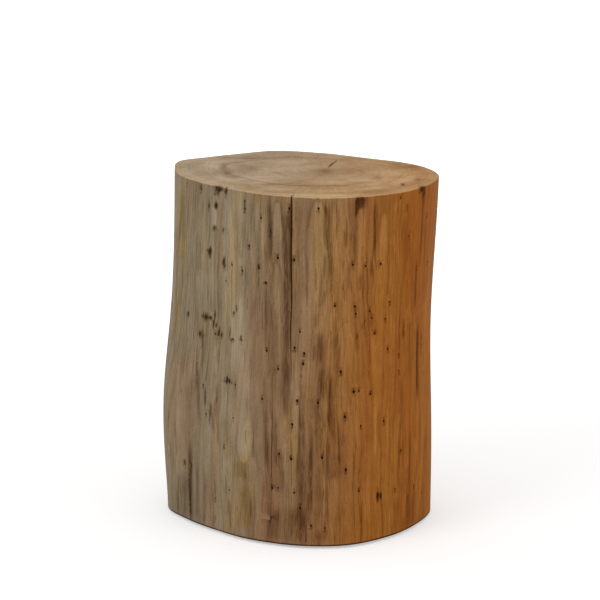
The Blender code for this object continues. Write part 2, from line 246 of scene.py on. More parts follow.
for middle, low, high, mouth, deep, wander in SIDE_CHECKS:
    for row, (part, share) in enumerate(rows):
        height = share if part == SIDE else float(part > SIDE)
        if not low - 0.05 < height < high + 0.05:
            continue
        from_low, from_high = (height - low) / (high - low), (high - height) / (high - low)
        opened = 1.0
        if high < 1:
            opened = from_high * TIP_TAPER
        elif height < high:
            opened = min(opened, LOW_END_SHARE + from_low)
        if low > 0:
            opened = min(opened, from_low * TIP_TAPER)
        if part in (SEAT, FOOT):
            opened = 1 - (1 - share) / (SEAT_RUN_SHARE if part == SEAT else FOOT_RUN_SHARE)
        drawn = min(1.0, max(0.0, opened * 4 + 1))
        if drawn == 0:
            continue
        opened = min(max(opened, 0.0), 1.0)
        sideways = wander * noise.noise(Vector((middle, height * 9, 0)))
        here = middle + math.degrees(sideways / TRUNK_RADIUS)
        arm = TRUNK_RADIUS * (share if part in (SEAT, FOOT) else 1)
        follow_check(row, here, arm, drawn, mouth * opened, deep * opened)

# Heart checks run out from the pith along a ray: one in the seat and three in the foot
HEART_CHECKS = ((SEAT, 77.5), (FOOT, 25), (FOOT, 150), (FOOT, 262))
HEART_CHECK_START = 0.023
HEART_CHECK_LENGTH = 0.056
HEART_CHECK_WIDTH = 0.0033
HEART_CHECK_DEPTH = 0.012
HEART_CHECK_WANDER_DEGREES = 2.2


def ray_at(ray_bearing, height_share):
    """The bearing about the pole, and the length, of the ray that leaves the pith at another bearing."""
    bearings = np.arange(0, 360, 0.25)
    angle = np.radians(bearings)
    radius = trunk_radius(bearings, height_share)
    x, y = radius * np.cos(angle) - PITH.x, radius * np.sin(angle) - PITH.y
    off = np.abs(turn_between(np.degrees(np.arctan2(y, x)), ray_bearing))
    best = int(np.argmin(off))
    return float(bearings[best]), math.hypot(x[best], y[best])


for face, ray_bearing in HEART_CHECKS:
    middle, ray_length = ray_at(ray_bearing, 1.0 if face == SEAT else 0.0)
    for row, (part, share) in enumerate(rows):
        run = (share * ray_length - HEART_CHECK_START) / HEART_CHECK_LENGTH
        if part != face or not -0.3 < run < 1.3:
            continue
        from_middle = abs(2 * run - 1)
        opened = max(0.0, 1 - from_middle**2)
        drawn = min(1.0, max(0.0, 1.3 - from_middle) * 3)
        here = middle + HEART_CHECK_WANDER_DEGREES * noise.noise(Vector((3, run * 3, ray_bearing)))
        follow_check(
            row, here, ray_length * share, drawn, HEART_CHECK_WIDTH * opened, HEART_CHECK_DEPTH * opened
        )


# The skin's points
# Drawknife and sander left slow waves, flutes and fibres on the side, and a faint roll on the sawn ends.
# All of this relief only goes into the wood.

# depth, waves across the grain and along it, shift
SIDE_RELIEF = ((0.0006, 3.2, 5, 11), (0.00022, 14, 3, 5), (0.00012, 40, 9, 2))
RIM_RELIEF_SHARE = 0.6
SEAT_RELIEF = 0.0002
SEAT_WAVES = 25
LEAN_REACH = 0.012
# how unevenly the arrises were worn: their mean share, and slow and quick changes of it
MEAN_WEAR, SLOW_WEAR, QUICK_WEAR = 0.72, 0.32, 0.18


def smooth_noise(x, y, z):
    """Perlin noise from -1 to 1 at arrays of places."""
    x, y, z = np.broadcast_arrays(x, y, z)
    flat = [noise.noise(Vector(place)) for place in zip(x.ravel(), y.ravel(), z.ravel())]
    return np.array(flat).reshape(x.shape)


def normals_of(points):
    """Outward directions, from the differences to the neighbours."""
    along = np.roll(points, -1, axis=1) - np.roll(points, 1, axis=1)
    climb = np.gradient(points, axis=0)
    out = np.cross(along, climb)
    return out / np.maximum(np.linalg.norm(out, axis=2, keepdims=True), 1e-12)


around_x, around_y = np.cos(np.radians(bearing)), np.sin(np.radians(bearing))
wear = MEAN_WEAR + SLOW_WEAR * smooth_noise(2 * around_x, 2 * around_y, 7.0)
wear += QUICK_WEAR * smooth_noise(9 * around_x, 9 * around_y, 3.0)
below, above = row_part <= FOOT_RIM, row_part >= SEAT_RIM
arris = np.where(below, FOOT_ARRIS, SEAT_ARRIS) * wear
rolled = np.select(
    [row_part == SIDE, row_part == FOOT_RIM, row_part == SEAT_RIM], [0.0, 1 - row_share, row_share], 1.0
) * (math.pi / 2)
height_share = np.select([below, above], [0.0, 1.0], row_share)
radius = trunk_radius(bearing, height_share) - arris * (1 - np.cos(rolled))
lift = arris * (1 - np.sin(rolled))
side_foot, side_top = FOOT_Z + FOOT_ARRIS * wear, SEAT_Z - SEAT_ARRIS * wear
up = np.select(
    [below, above], [FOOT_Z + lift, SEAT_Z - lift], side_foot + (side_top - side_foot) * row_share
)
ring_share = np.where(on_ends, row_share, 1.0)
heart = POLE + PITH
points = np.stack(
    [
        heart.x + (POLE.x + around_x * radius - heart.x) * ring_share,
        heart.y + (POLE.y + around_y * radius - heart.y) * ring_share,
        up,
    ],
    axis=2,
)
outward = normals_of(points)
side_relief = sum(
    deep * (smooth_noise(around_x * across, around_y * across, up * along + shift) * 0.5 + 0.5)
    for deep, across, along, shift in SIDE_RELIEF
)
seat_roll = smooth_noise(points[..., 0] * SEAT_WAVES, points[..., 1] * SEAT_WAVES, up)
relief = np.where(row_part == SIDE, side_relief, side_relief * RIM_RELIEF_SHARE)
relief = np.where(on_ends, SEAT_RELIEF * (seat_roll * 0.5 + 0.5), relief)

# Near the rims the bottom of a check leans over, and so turns the corner with the surface
from_rim = np.select(
    [row_part == SIDE, on_ends],
    [np.minimum(row_share, 1 - row_share) * TRUNK_LENGTH, (1 - row_share) * TRUNK_RADIUS],
)
leaning = np.clip(1 - from_rim / LEAN_REACH, 0, 1)[..., None]
towards_end = np.where(up > (FOOT_Z + SEAT_Z) / 2, 1.0, -1.0)
corner = np.stack([around_x, around_y, towards_end], axis=2) / math.sqrt(2)
sinking = outward * (1 - leaning) + corner * leaning
sinking /= np.linalg.norm(sinking, axis=2, keepdims=True)
points = points - outward * relief[..., None] - sinking * depth[..., None]
points[..., 2] = np.clip(points[..., 2], FOOT_Z, SEAT_Z)
outward = normals_of(points)

# Places on the skin, as fractions of its rows and columns
column_u, row_v = pixels_of(points)
facing = np.einsum("rci,rci->rc", outward, np.array(EYE) - points) > 0
facing &= row_part != FOOT


def skin_place(px, py):
    """The row and column, with fractions, that a pixel of the picture shows."""
    miss = np.where(facing, (column_u - px) ** 2 + (row_v - py) ** 2, 1e9)
    row, column = np.unravel_index(np.argmin(miss), miss.shape)
    here = np.array([column_u[row, column], row_v[row, column]])
    above, beside = (row + 1, column), (row, (column + 1) % COLUMNS)
    steps = np.array([[field[above], field[beside]] for field in (column_u, row_v)]) - here[:, None]
    part = np.clip(np.linalg.solve(steps, np.array([px, py]) - here), -0.5, 0.5)
    return row + float(part[0]), column + float(part[1])


def skin_point(row, column):
    """The point at a fractional row and column."""
    low_row, low_column = math.floor(row), math.floor(column)
    a, b = row - low_row, column - low_column
    left, right = low_column % COLUMNS, (low_column + 1) % COLUMNS
    lower = points[low_row, left] * (1 - b) + points[low_row, right] * b
    upper = points[low_row + 1, left] * (1 - b) + points[low_row + 1, right] * b
    return lower * (1 - a) + upper * a


# Beetle holes
# Wood beetles bored out through the bark before the tree was peeled. Sanding left their mouths open:
# 2.4 to 4.8 mm across, longer up the grain, with walls darkened by painted shade.

HOLE_DIAMETER = 0.0034
HOLE_DEPTH = 0.0042
# pixels across and down in the picture, size
HOLE_PIXELS = (
    (187, 183, 0.9), (201, 189, 1.3), (244.5, 201.5, 1.2), (244.5, 209, 1.3), (260.8, 218, 1.1),
    (289, 208.6, 0.9), (318.6, 208.6, 1.0), (249, 246, 1.2), (231.8, 265, 1.1), (242.2, 271, 1.3),
    (258.8, 268, 1.2), (277.8, 258, 1.1), (294.2, 260, 1.0), (265.5, 283, 1.2), (226, 281, 0.7),
    (292, 299, 0.9), (353, 265, 1.0), (366, 266, 0.9), (381, 264, 1.1), (427, 217, 0.8), (409, 236, 0.8),
    (427, 262, 0.8), (417, 266, 0.7), (401, 198, 0.8), (335, 306, 1.0), (355, 306.5, 1.0), (356, 314, 0.9),
    (370, 311, 0.9), (372, 318, 0.9), (385.5, 319, 1.0), (390, 302, 1.0), (375, 333.5, 1.1),
    (300, 332, 0.8), (233.8, 313, 1.1), (236.5, 308.5, 1.1), (233, 339, 1.0), (241, 340, 1.1),
    (266.5, 351, 1.0), (294.5, 348, 1.1), (304, 353.5, 1.1), (303, 364, 1.1), (278, 369, 1.0),
    (341, 372, 1.1), (235, 385, 1.0), (203, 385, 1.0), (181, 391, 0.7), (262, 399, 1.0), (297, 401, 1.1),
    (318, 403, 1.1), (354, 392, 1.2), (359, 391, 0.9), (370.6, 394, 1.1), (388, 349, 1.2),
    (399, 354.5, 1.0), (399, 371, 1.0), (423, 374.5, 0.7), (233, 418, 0.8), (292, 424.5, 1.1),
    (345, 417, 1.2), (384, 421, 1.2), (361, 426, 0.9), (414.5, 436, 0.8), (224, 448, 0.9), (279, 454, 1.0),
    (291, 459, 1.2), (322, 458, 1.1), (346, 470, 1.2), (185, 464, 1.4), (191, 466, 1.2), (272, 488, 1.1),
    (278, 488, 0.8), (294, 493, 0.9), (229, 490, 0.8), (215.5, 498, 0.8), (359, 491, 1.0), (395, 489, 1.0),
    (405, 500, 0.9), (413.5, 486, 0.9), (422, 493, 0.8), (300, 508, 1.0), (311, 526, 0.9), (325, 528, 0.8),
    (271, 518, 1.1), (401, 450, 0.9), (423, 459, 0.7), (206, 414, 0.9), (403, 184.5, 1.3),
    (421.5, 190.5, 0.8), (215, 334, 1.0), (218, 335, 0.9),
)
FAR_HOLES = 85
FAR_SIZES = (0.8, 0.9, 1.0, 1.1, 1.2)
holes = [(*skin_place(px, py), size) for px, py, size in HOLE_PIXELS]
chance = random.Random(20)
for number in range(FAR_HOLES):
    column = column_at(chance.uniform(2, 176))
    holes.append((first_side + chance.uniform(4, SIDE_ROWS - 4), column, chance.choice(FAR_SIZES)))


# Stains and streaks
# Fungus followed the beetles in and left blue-black marks that creep up and down the grain. Sap and
# weather left brown and pale streaks. Each is a soft patch here, which the finish breaks up further.

# pixels across and down, width and height in millimetres, strength in hundredths
STAIN_PIXELS = (
    (219, 188.5, 24, 7, 95), (217, 192, 16, 12, 55), (226, 191, 7, 18, 75), (216, 205.5, 10, 9, 100),
    (209, 206, 6, 13, 70), (214.5, 228, 10, 7, 75), (223, 230, 6, 10, 65), (218, 229.5, 13, 3, 45),
    (210, 252, 8, 14, 100), (208, 250, 9, 4, 60), (224, 263, 8, 18, 80), (232, 265, 4, 7, 60),
    (270, 231, 7, 26, 50), (277, 257, 6, 13, 45), (293.5, 260, 6, 9, 60), (188, 314, 7, 7, 80),
    (206, 317, 21, 10, 78), (211, 318, 10, 6, 70), (213.5, 324, 4, 13, 90), (215, 315, 4, 13, 80),
    (216.5, 325, 4, 7, 80), (201, 334, 16, 11, 62), (202.5, 340, 6, 25, 45), (219, 333, 5, 13, 100),
    (222, 335, 4, 10, 90), (232, 340, 12, 5, 80), (241, 339, 6, 9, 90), (227, 380.5, 5, 10, 100),
    (229.5, 381, 4, 7, 100), (224.5, 380, 4, 7, 70), (231.5, 382.5, 4, 6, 60), (227, 381, 26, 6, 55),
    (205, 397, 4, 30, 45), (210, 415, 7, 33, 42), (197, 372, 6, 62, 32), (191, 470, 6, 30, 46),
    (190, 494, 6, 85, 46), (377.6, 496, 4, 19, 100), (380.6, 495.5, 4, 9, 100), (379, 495.5, 11, 6, 60),
    (359, 201, 12, 10, 40), (363, 199, 13, 6, 50), (403, 184.5, 6, 16, 100), (422, 189, 14, 12, 85),
    (424, 193, 9, 24, 60), (422, 190, 4, 37, 30), (407, 208, 6, 13, 40), (357, 337, 6, 10, 30),
    (301, 385, 4, 75, 30), (265.5, 283, 7, 5, 80), (421, 345, 6, 37, 40), (404, 332, 7, 25, 30),
    (230, 332, 3, 15, 80),
)
# pixels across and down at the top end, the same at the bottom end, width in millimetres, tone in
# hundredths: below zero is brown, above zero pale
STREAK_PIXELS = (
    (320, 200, 321, 282, 22, -38), (240, 200, 240, 246, 14, 32), (254, 236, 254, 300, 10, 32),
    (232, 226, 232, 300, 14, 22), (290, 204, 290, 262, 8, -35), (226, 416, 226, 460, 18, -38),
    (335, 322, 335, 394, 16, -32), (277, 510, 277, 541, 8, -45), (198, 204, 198, 290, 34, 14),
    (214, 322, 214, 394, 16, 22), (372, 290, 372, 350, 20, 12), (264, 300, 264, 372, 5, 20),
    # The wide band at (296, 508) darkens the lowest part of the front.
    (296, 508, 296, 544, 100, -36), (296, 455, 296, 535, 16, -45), (295, 204, 295, 345, 18, -32),
    (279, 320, 279, 400, 14, -30), (316, 335, 316, 396, 36, -25), (327, 488, 327, 540, 20, -26),
    (263, 222, 263, 250, 12, 25), (236, 290, 236, 370, 30, 22), (343, 415, 343, 444, 14, -25),
    (291, 199, 290, 300, 6, -60), (306, 200, 304, 372, 40, -16), (183, 190, 181, 238, 14, -35),
    (188, 200, 188, 228, 6, -35), (177, 235, 174, 350, 6, -35), (204, 214, 203, 304, 12, 35),
    (209, 196, 210, 250, 3, -45), (215, 206, 215, 226, 9, 75), (231, 194, 231, 345, 18, 70),
    (225, 232, 226, 300, 8, 30), (243, 192, 243, 225, 10, 45), (238, 212, 238, 252, 4, -35),
    (213, 240, 212, 302, 4, 50), (218, 250, 219, 320, 8, -25), (246, 232, 248, 290, 8, -25),
    (256, 225, 256, 375, 16, -22), (262, 215, 263, 264, 4, 55), (269, 200, 270, 264, 8, -75),
    (285, 202, 286, 300, 6, -30), (286, 244, 286, 372, 9, -55), (288, 300, 288, 345, 5, -35),
    (279, 276, 279.5, 392, 3, 55), (272, 300, 272, 372, 9, -40), (266, 284, 265, 350, 9, -40),
    (296, 204, 295, 285, 6, 40), (240, 300, 242, 372, 18, 45), (233, 330, 233, 372, 14, 40),
    (247, 296, 247, 310, 2, -70), (203, 338, 202, 380, 3, -85), (197, 345, 196, 374, 3, -70),
    (215, 345, 216, 372, 6, 35), (184, 330, 182, 372, 16, -20), (292, 345, 292, 372, 4, -45),
    (198, 372, 199, 420, 7, -60), (205, 388, 205, 406, 4, -80), (211, 404, 213, 430, 5, -60),
    (217, 384, 217, 402, 3, -60), (218, 422, 218, 444, 3, -60), (222, 372, 222, 420, 12, 35),
    (245, 376, 245, 460, 18, 55), (231, 386, 231, 440, 14, 35), (210, 425, 209, 470, 10, 30),
    (180, 372, 179, 440, 10, 25), (190, 446, 191, 524, 9, -110), (361, 196, 361, 208, 12, -130),
    (357, 198, 357, 216, 6, -90), (186, 474, 184, 520, 12, -35), (178, 476, 178, 512, 4, -50),
    (197, 466, 197, 518, 6, -60), (205, 480, 205, 524, 8, -45), (213, 490, 214, 528, 5, -50),
    (242, 462, 242, 478, 28, -45), (244, 480, 244, 530, 18, -22), (222, 450, 224, 480, 10, 25),
    (229, 500, 231, 530, 5, -45), (253, 440, 253, 458, 3, -55), (264, 372, 266, 470, 6, -35),
    (272, 376, 272, 450, 4, -60), (267, 424, 268, 544, 6, -60), (276, 420, 275, 460, 3, -55),
    (273, 440, 272, 545, 6, -50), (278, 455, 277, 490, 10, -30), (282, 452, 282, 494, 5, -60),
    (285, 360, 285, 416, 10, -60), (295, 374, 293, 510, 10, 60), (287, 480, 288, 540, 6, -12),
    (299.5, 400, 298, 470, 4, -75), (302, 410, 301, 500, 5, -45), (298, 200, 298, 262, 6, -35),
    (325, 202, 327, 256, 5, -60), (325, 254, 322, 294, 5, -70), (326, 290, 321, 306, 8, -55),
    (307, 262, 307, 290, 3, -45), (310, 270, 308, 380, 14, 25), (316, 314, 316, 328, 6, -60),
    (321, 334, 321, 364, 8, -70), (315, 345, 314, 362, 5, -55), (330, 205, 331, 300, 6, -30),
    (335, 210, 335, 264, 7, 45), (345, 230, 345, 248, 4, -50), (349, 200, 350, 245, 6, -30),
    (354, 204, 355, 268, 5, -60), (362, 212, 361, 268, 9, 40), (348, 262, 348, 290, 4, -35),
    (376, 202, 374, 256, 5, -70), (373, 250, 371, 276, 4, -70), (384, 214, 383, 250, 8, 60),
    (382, 250, 380, 305, 7, 50), (376, 290, 377, 322, 4, 55), (360, 276, 360, 290, 4, -60),
    (366, 318, 361, 330, 3, -55), (395, 250, 395, 330, 10, 22), (405, 215, 405, 245, 5, -35),
    (421, 186, 420, 262, 4, -70), (416.5, 262, 415, 308, 5, -85), (418, 322, 417, 396, 7, -120),
    (425, 215, 424, 300, 6, -30), (404, 320, 403, 338, 5, -60), (410, 318, 409, 372, 4, -55),
    (399, 320, 398, 360, 4, -35), (337, 330, 336, 372, 6, -30), (330, 320, 331, 372, 8, 25),
    (373, 335, 374, 372, 8, 30), (357, 332, 357, 352, 6, -40), (305, 300, 304, 350, 12, 25),
    (312, 372, 311, 440, 14, 25), (323, 366, 323, 400, 10, -40), (330, 376, 329, 438, 4, -60),
    (327.5, 436, 327.5, 478, 4, -60), (333, 380, 333, 440, 10, -30), (317, 404, 316, 436, 9, -35),
    (310.5, 444, 311, 510, 4, -50), (309, 492, 308, 512, 8, -35), (337, 454, 337, 480, 14, -38),
    (334, 480, 333, 542, 9, 40), (324, 478, 324, 518, 3, 45), (335, 515, 335, 541, 3, -60),
    (356, 396, 355, 440, 10, 22), (375, 396, 375, 460, 4, 50), (362, 502, 361, 542, 3, -75),
    (367, 440, 366, 520, 10, 22), (396, 370, 393, 440, 5, -40), (400, 420, 399, 470, 4, -60),
    (410, 432, 407, 530, 4, -85), (403, 440, 402, 500, 8, -25), (396, 500, 396, 536, 12, -45),
    (414, 490, 414, 528, 16, -35), (424, 480, 424, 522, 10, -35), (401, 378, 402, 430, 6, -45),
    (303, 512, 303, 544, 14, -35), (318, 532, 318, 545, 12, -30), (184, 474, 184, 518, 34, -30),
    (313, 376, 312, 516, 50, -50), (284, 212, 285, 262, 14, -30),
)
# the same, with a tint: above zero reddish, below zero yellow
TINT_PIXELS = (
    (247, 376, 245, 460, 20, -55), (212, 380, 210, 470, 24, -40), (300, 200, 298, 420, 22, -45),
    (248, 390, 246, 540, 50, -45), (293, 204, 293, 300, 8, -60), (296, 200, 295, 300, 14, -70),
    (219, 236, 219, 280, 8, 90), (219, 300, 219, 322, 6, 140), (266, 282, 267, 302, 14, 90),
    (387, 196, 387, 217, 8, 160), (361, 196, 361, 210, 14, 120), (396, 195, 396, 204, 14, 90),
    (425, 315, 424, 410, 12, 100), (208, 276, 208, 312, 14, 90), (198, 345, 199, 405, 10, 80),
    (238, 210, 238, 252, 5, 100), (253, 200, 254, 345, 16, 70), (244, 230, 245, 290, 10, 50),
    (280, 455, 279, 500, 14, 70), (342, 322, 341, 372, 16, 60), (336, 440, 336, 480, 14, 90),
    (415, 440, 412, 530, 30, 90), (362, 500, 361, 542, 6, 110), (385, 330, 384, 400, 12, 60),
    (373, 200, 372, 276, 8, 80), (335, 210, 335, 264, 10, 70), (297, 374, 295, 430, 10, 80),
    (245, 365, 243, 395, 12, 50), (186, 192, 184, 262, 22, -70), (176, 240, 174, 350, 10, -60),
    (242, 454, 242, 478, 26, -140), (246, 480, 246, 528, 26, -90), (212, 240, 212, 302, 5, -80),
    (247, 292, 246, 350, 10, -70), (264, 215, 264, 262, 6, -70), (318, 205, 316, 300, 16, -50),
    (384, 214, 381, 305, 12, -90), (374, 330, 374, 420, 10, -60), (216, 300, 216, 345, 8, -60),
    (197, 440, 196, 500, 30, -70), (228, 430, 228, 455, 14, -50), (400, 410, 402, 470, 14, -70),
    (375, 500, 374, 535, 20, -60), (416, 196, 414, 250, 14, -50), (325, 480, 325, 530, 12, -50),
    (357, 332, 357, 352, 6, -90),
)
# marks in the seat, seen from above, in millimetres: middle x and y, half width and half depth,
# then tone and tint in hundredths
SEAT_MARKS = (
    (-69, 110, 17, 3.4, -110, 0), (-100, 52, 5, 24, -90, 40), (-93, 5, 5, 20, -100, 30),
    (-83, -22, 7, 12, -95, 20), (-66, -45, 12, 7, -90, 20), (-30, -65, 17, 6, -100, 60),
    (0, -75, 18, 5, -100, 60), (44, -74, 22, 5, -80, 40), (77, -55, 16, 7, -110, 40),
    (99, -22, 6, 14, -90, 30), (-50, -28, 9, 7, -40, 20), (-33, -43, 9, 5, -45, 20),
    (-10, -57, 10, 4, -45, 20), (34, 25, 8, 20, -80, -90), (64, 15, 9, 14, -60, 60), (60, 2, 8, 6, -40, 40),
    (17, 32, 13, 13, -50, -40), (-73, 52, 12, 13, -45, -40), (-30, 12, 7, 5, -40, 0),
    (0, -45, 10, 10, -40, 40), (-23, -35, 9, 8, -25, 0), (104, 45, 16, 10, -25, 10),
    (124, 68, 7, 10, -50, -90), (147, 55, 6, 8, -35, -80), (-100, 105, 9, 18, -15, 40),
    (-46, 157, 10, 4, -80, 0), (-133, 55, 20, 28, -20, -20), (84, 110, 6, 3, -80, 20),
    # The pale mark at (32, -139) is a painted highlight along the seat's front edge.
    (159, 18, 12, 22, 40, 50), (32, -139, 42, 13, 105, -60), (54, -38, 10, 8, -30, 80),
    (77, 22, 8, 9, -25, 70), (-30, -118, 17, 7, -50, 70), (-110, -35, 14, 12, 30, -40),
    (24, -108, 30, 10, 20, 0), (130, -38, 14, 16, 20, 30), (-40, 45, 20, 20, 15, -10),
    (7, 107, 4, 18, 40, 0), (-20, 80, 22, 12, 20, 10), (84, -92, 20, 8, 25, 20), (-72, -84, 18, 9, 20, 40),
    (100, 90, 22, 10, 15, 40), (-20, -141, 22, 8, -50, 90), (90, -124, 22, 10, 40, 30),
    (140, -78, 14, 14, 25, 50), (150, -34, 3, 13, -120, 30), (137, -50, 14, 30, 42, 0),
    (138, 14, 13, 28, 16, 0), (86, -96, 26, 14, 38, 0), (122, 66, 16, 16, 14, 0), (40, 132, 60, 16, 48, 0),
    (-84, 78, 10, 14, -50, 50), (-20, 112, 24, 4, -32, 20), (-50, 138, 30, 14, 30, 0),
    (-58, 32, 8, 14, -40, -30),
)
FAR_STAINS = 46
FAR_STREAKS = 120
FAR_BEARINGS = (4, 176)
FAR_TONES = (-0.8, -0.6, -0.45, -0.3, 0.3, 0.45, 0.6)
WRAP_FROM = 0.955
WRAP_STRENGTH = 0.6
FEATHER_START, FEATHER_LENGTH = 0.10, 0.25

stain, tone, tint = (np.zeros(bearing.shape) for field in range(3))
# marks of the side run over the rims, and fade out a little way in on the sawn ends
wrapped = np.clip((row_share - WRAP_FROM) / (1 - WRAP_FROM), 0, 1) * WRAP_STRENGTH
side_share = np.where(on_ends, wrapped, 1)


def arc_from(bearings):
    """How far each column is round the trunk from these bearings, in metres, the short way."""
    return np.radians(turn_between(plain_bearing, bearings)) * TRUNK_RADIUS


def add_stain(row, column, width, height, strength):
    """A soft patch, as wide and high as given on the side, or as wide and deep on the seat."""
    centre = skin_point(row, column)
    if row >= first_seat:
        across = (points[..., 0] - centre[0]) / (width / 2)
        away = (points[..., 1] - centre[1]) / (height / 2)
        patch = strength * np.exp(-(across**2) - away**2)
        patch[:first_seat - RIM_ROWS] = 0
    else:
        across = arc_from(bearing_at(column)) / (width / 2)
        away = (up - centre[2]) / (height / 2)
        patch = strength * np.exp(-(across**2) - np.abs(away) ** 1.6) * side_share
    stain[:] = np.maximum(stain, patch)


def add_streak(field, upper, lower, width, shift):
    """A streak down the grain from one place to the other, with feathered ends and sides."""
    top, bottom = skin_point(*upper)[2], skin_point(*lower)[2]
    run = (top - up) / max(top - bottom, 0.001)
    upper_bearing, lower_bearing = bearing_at(upper[1]), bearing_at(lower[1])
    middle = upper_bearing + turn_between(lower_bearing, upper_bearing) * np.clip(run, -0.3, 1.3)
    feather = np.minimum(run, 1 - run) + FEATHER_START
    feather = np.clip(feather / FEATHER_LENGTH, 0, 1)
    band = shift * np.exp(-((arc_from(middle) / (width / 2)) ** 2)) * feather * side_share
    field[:] += np.where(row_part < SEAT, band, 0)


HALO_WIDTH, HALO_HEIGHT, HALO_STRENGTH = 0.0060, 0.0100, 0.33
STREAK_WIDTH, HALO_BROWN, HALO_ROWS = 0.0042, -0.9, 1.6
for row, column, size in holes:
    add_stain(row, column, HALO_WIDTH * size, HALO_HEIGHT * size, HALO_STRENGTH * size)
    if row < first_seat - RIM_ROWS - 2:
        ends = (row + HALO_ROWS, column), (row - HALO_ROWS, column)
        add_streak(tone, *ends, STREAK_WIDTH * size, HALO_BROWN * size)

# Flames: pale tongues where the knife cut through a ring, each with a thin brown edge.
# axis, tip and foot pixels, half width in tenths of a millimetre, strength in hundredths
FLAME_PIXELS = (
    (277.5, 201, 268, 64, 150), (276, 262, 320, 44, 90), (317.5, 200, 310, 118, 120),
    (384, 212, 300, 56, 70), (243.5, 463, 400, 125, 60), (252, 456, 500, 80, 35), (361, 209, 268, 56, 40),
    (228, 440, 480, 90, 40), (347, 322, 372, 100, 50), (333, 476, 540, 60, 50), (242, 298, 345, 70, 50),
    (309, 400, 330, 100, 40), (259, 470, 520, 50, 50), (212, 350, 400, 50, 50), (375, 405, 460, 40, 60),
    (366, 372, 420, 80, 40), (395, 470, 410, 70, 40), (192, 262, 330, 60, 40),
)
FAR_FLAMES = 26
FLAME_EDGE = 0.0022
FLAME_TIP_SHARE = 0.28
FLAME_FADING_SHARE = 0.45
FLAME_PALE, FLAME_BROWN = 0.42, 0.34


def add_flame(tip, foot, half_width, strength):
    top, column = skin_point(*tip)[2], tip[1]
    run = (up - top) / (skin_point(*foot)[2] - top)
    climb = run[:, int(column)][:, None] * 3
    sway = smooth_noise(climb, column, 0.0) * half_width * 0.4
    swell = 1 + 0.25 * smooth_noise(climb, column, 9.0)
    across = np.abs(arc_from(bearing_at(column)) + sway)
    tip_round = 1 - (1 - np.clip(run / FLAME_TIP_SHARE, 0, 1)) ** 2
    width = half_width * swell * np.sqrt(np.maximum(tip_round, 0.002))
    fading = np.clip((1 - run) / FLAME_FADING_SHARE, 0, 1)
    pale = np.clip((1.3 - across / width) / 0.6, 0, 1) * np.clip(run / 0.03, 0, 1)
    brown = np.exp(-(((across - width * 1.2) / FLAME_EDGE) ** 2)) * np.clip(run / 0.04 + 1, 0, 1)
    shift = strength * fading * (pale * FLAME_PALE - brown * FLAME_BROWN)
    tone[:] += np.where(row_part == SIDE, shift, 0)


for px, py, width, height, strength in STAIN_PIXELS:
    add_stain(*skin_place(px, py), width / 1000, height / 1000, strength / 100)
for field, table in ((tone, STREAK_PIXELS), (tint, TINT_PIXELS)):
    for px, py, low_px, low_py, width, shift in table:
        add_streak(field, skin_place(px, py), skin_place(low_px, low_py), width / 1000, shift / 100)
for x, y, half_x, half_y, shift, warmth in SEAT_MARKS:
    off_x, off_y = points[..., 0] * 1000 - x, points[..., 1] * 1000 - y
    patch = np.where(row_part == SEAT, np.exp(-((off_x / half_x) ** 2) - (off_y / half_y) ** 2), 0)
    tone += shift / 100 * patch
    tint += warmth / 100 * patch
for px, tip_py, foot_py, half_width, strength in FLAME_PIXELS:
    add_flame(skin_place(px, tip_py), skin_place(px, foot_py), half_width / 10000, strength / 100)

# The side that the picture doesn't show has marks of the same kinds, at random places
for number in range(FAR_FLAMES):
    column = column_at(chance.uniform(*FAR_BEARINGS))
    tip = first_side + chance.uniform(0.2, 0.95) * SIDE_ROWS
    foot = tip - chance.uniform(0.2, 0.45) * SIDE_ROWS
    foot = min(max(foot, first_side + 2), first_side + SIDE_ROWS - 2)
    add_flame((tip, column), (foot, column), chance.uniform(0.005, 0.011), chance.uniform(0.4, 0.9))
for number in range(FAR_STAINS):
    row, column, size = chance.choice(holes[len(HOLE_PIXELS):])
    add_stain(
        row + chance.uniform(-3, 3), column + chance.uniform(-2, 2),
        chance.uniform(0.003, 0.011), chance.uniform(0.006, 0.022), chance.uniform(0.5, 1.0),
    )
for number in range(FAR_STREAKS):
    column = column_at(chance.uniform(*FAR_BEARINGS))
    high = chance.uniform(0.25, 1.0) * SIDE_ROWS
    low = max(0.0, high - chance.uniform(0.15, 0.6) * SIDE_ROWS)
    add_streak(
        chance.choice((tone, tone, tint)),
        (first_side + high - 1, column), (first_side + low, column + chance.uniform(-2, 2)),
        chance.uniform(0.004, 0.018), chance.choice(FAR_TONES),
    )


# The trunk's mesh
# The grid's faces make the skin of the trunk. A block of them is taken out for each beetle hole and for
# each bored pocket of the glides, and a sunk stack of rings takes its place.

HOLE_MARGIN = 0.0004
HOLE_LONGEST = 0.0029
HOLE_STRETCH, HOLE_STRETCH_SPREAD = 1.15, 0.35
# shares of the mouth's radius, and how far down
HOLE_PROFILE = ((1.0, 0.0), (0.86, 0.0004), (0.65, HOLE_DEPTH))
END_DROP = 0.0004
POCKET_CLEARANCE = 0.001
POCKET_DEPTH = 0.006
POCKET_LIP = 0.0005
POCKET_MARGIN = 0.0015
PILOT_RADIUS = 0.0024
PILOT_DEPTH = 0.0307
CREASE_ANGLE = math.radians(38)

vertices = [tuple(p) for p in points.reshape(-1, 3)]
taken = np.zeros((len(rows) - 1, COLUMNS), bool)
# how far down its hole each point lies, and the point of the grid whose marks it takes
sunk = [0.0] * len(vertices)
like = list(range(len(vertices)))
faces = []


def grid_index(row, column):
    return row * COLUMNS + column % COLUMNS


def add_point(place, down, source):
    vertices.append(tuple(place))
    sunk.append(down)
    like.append(source)
    return len(vertices) - 1


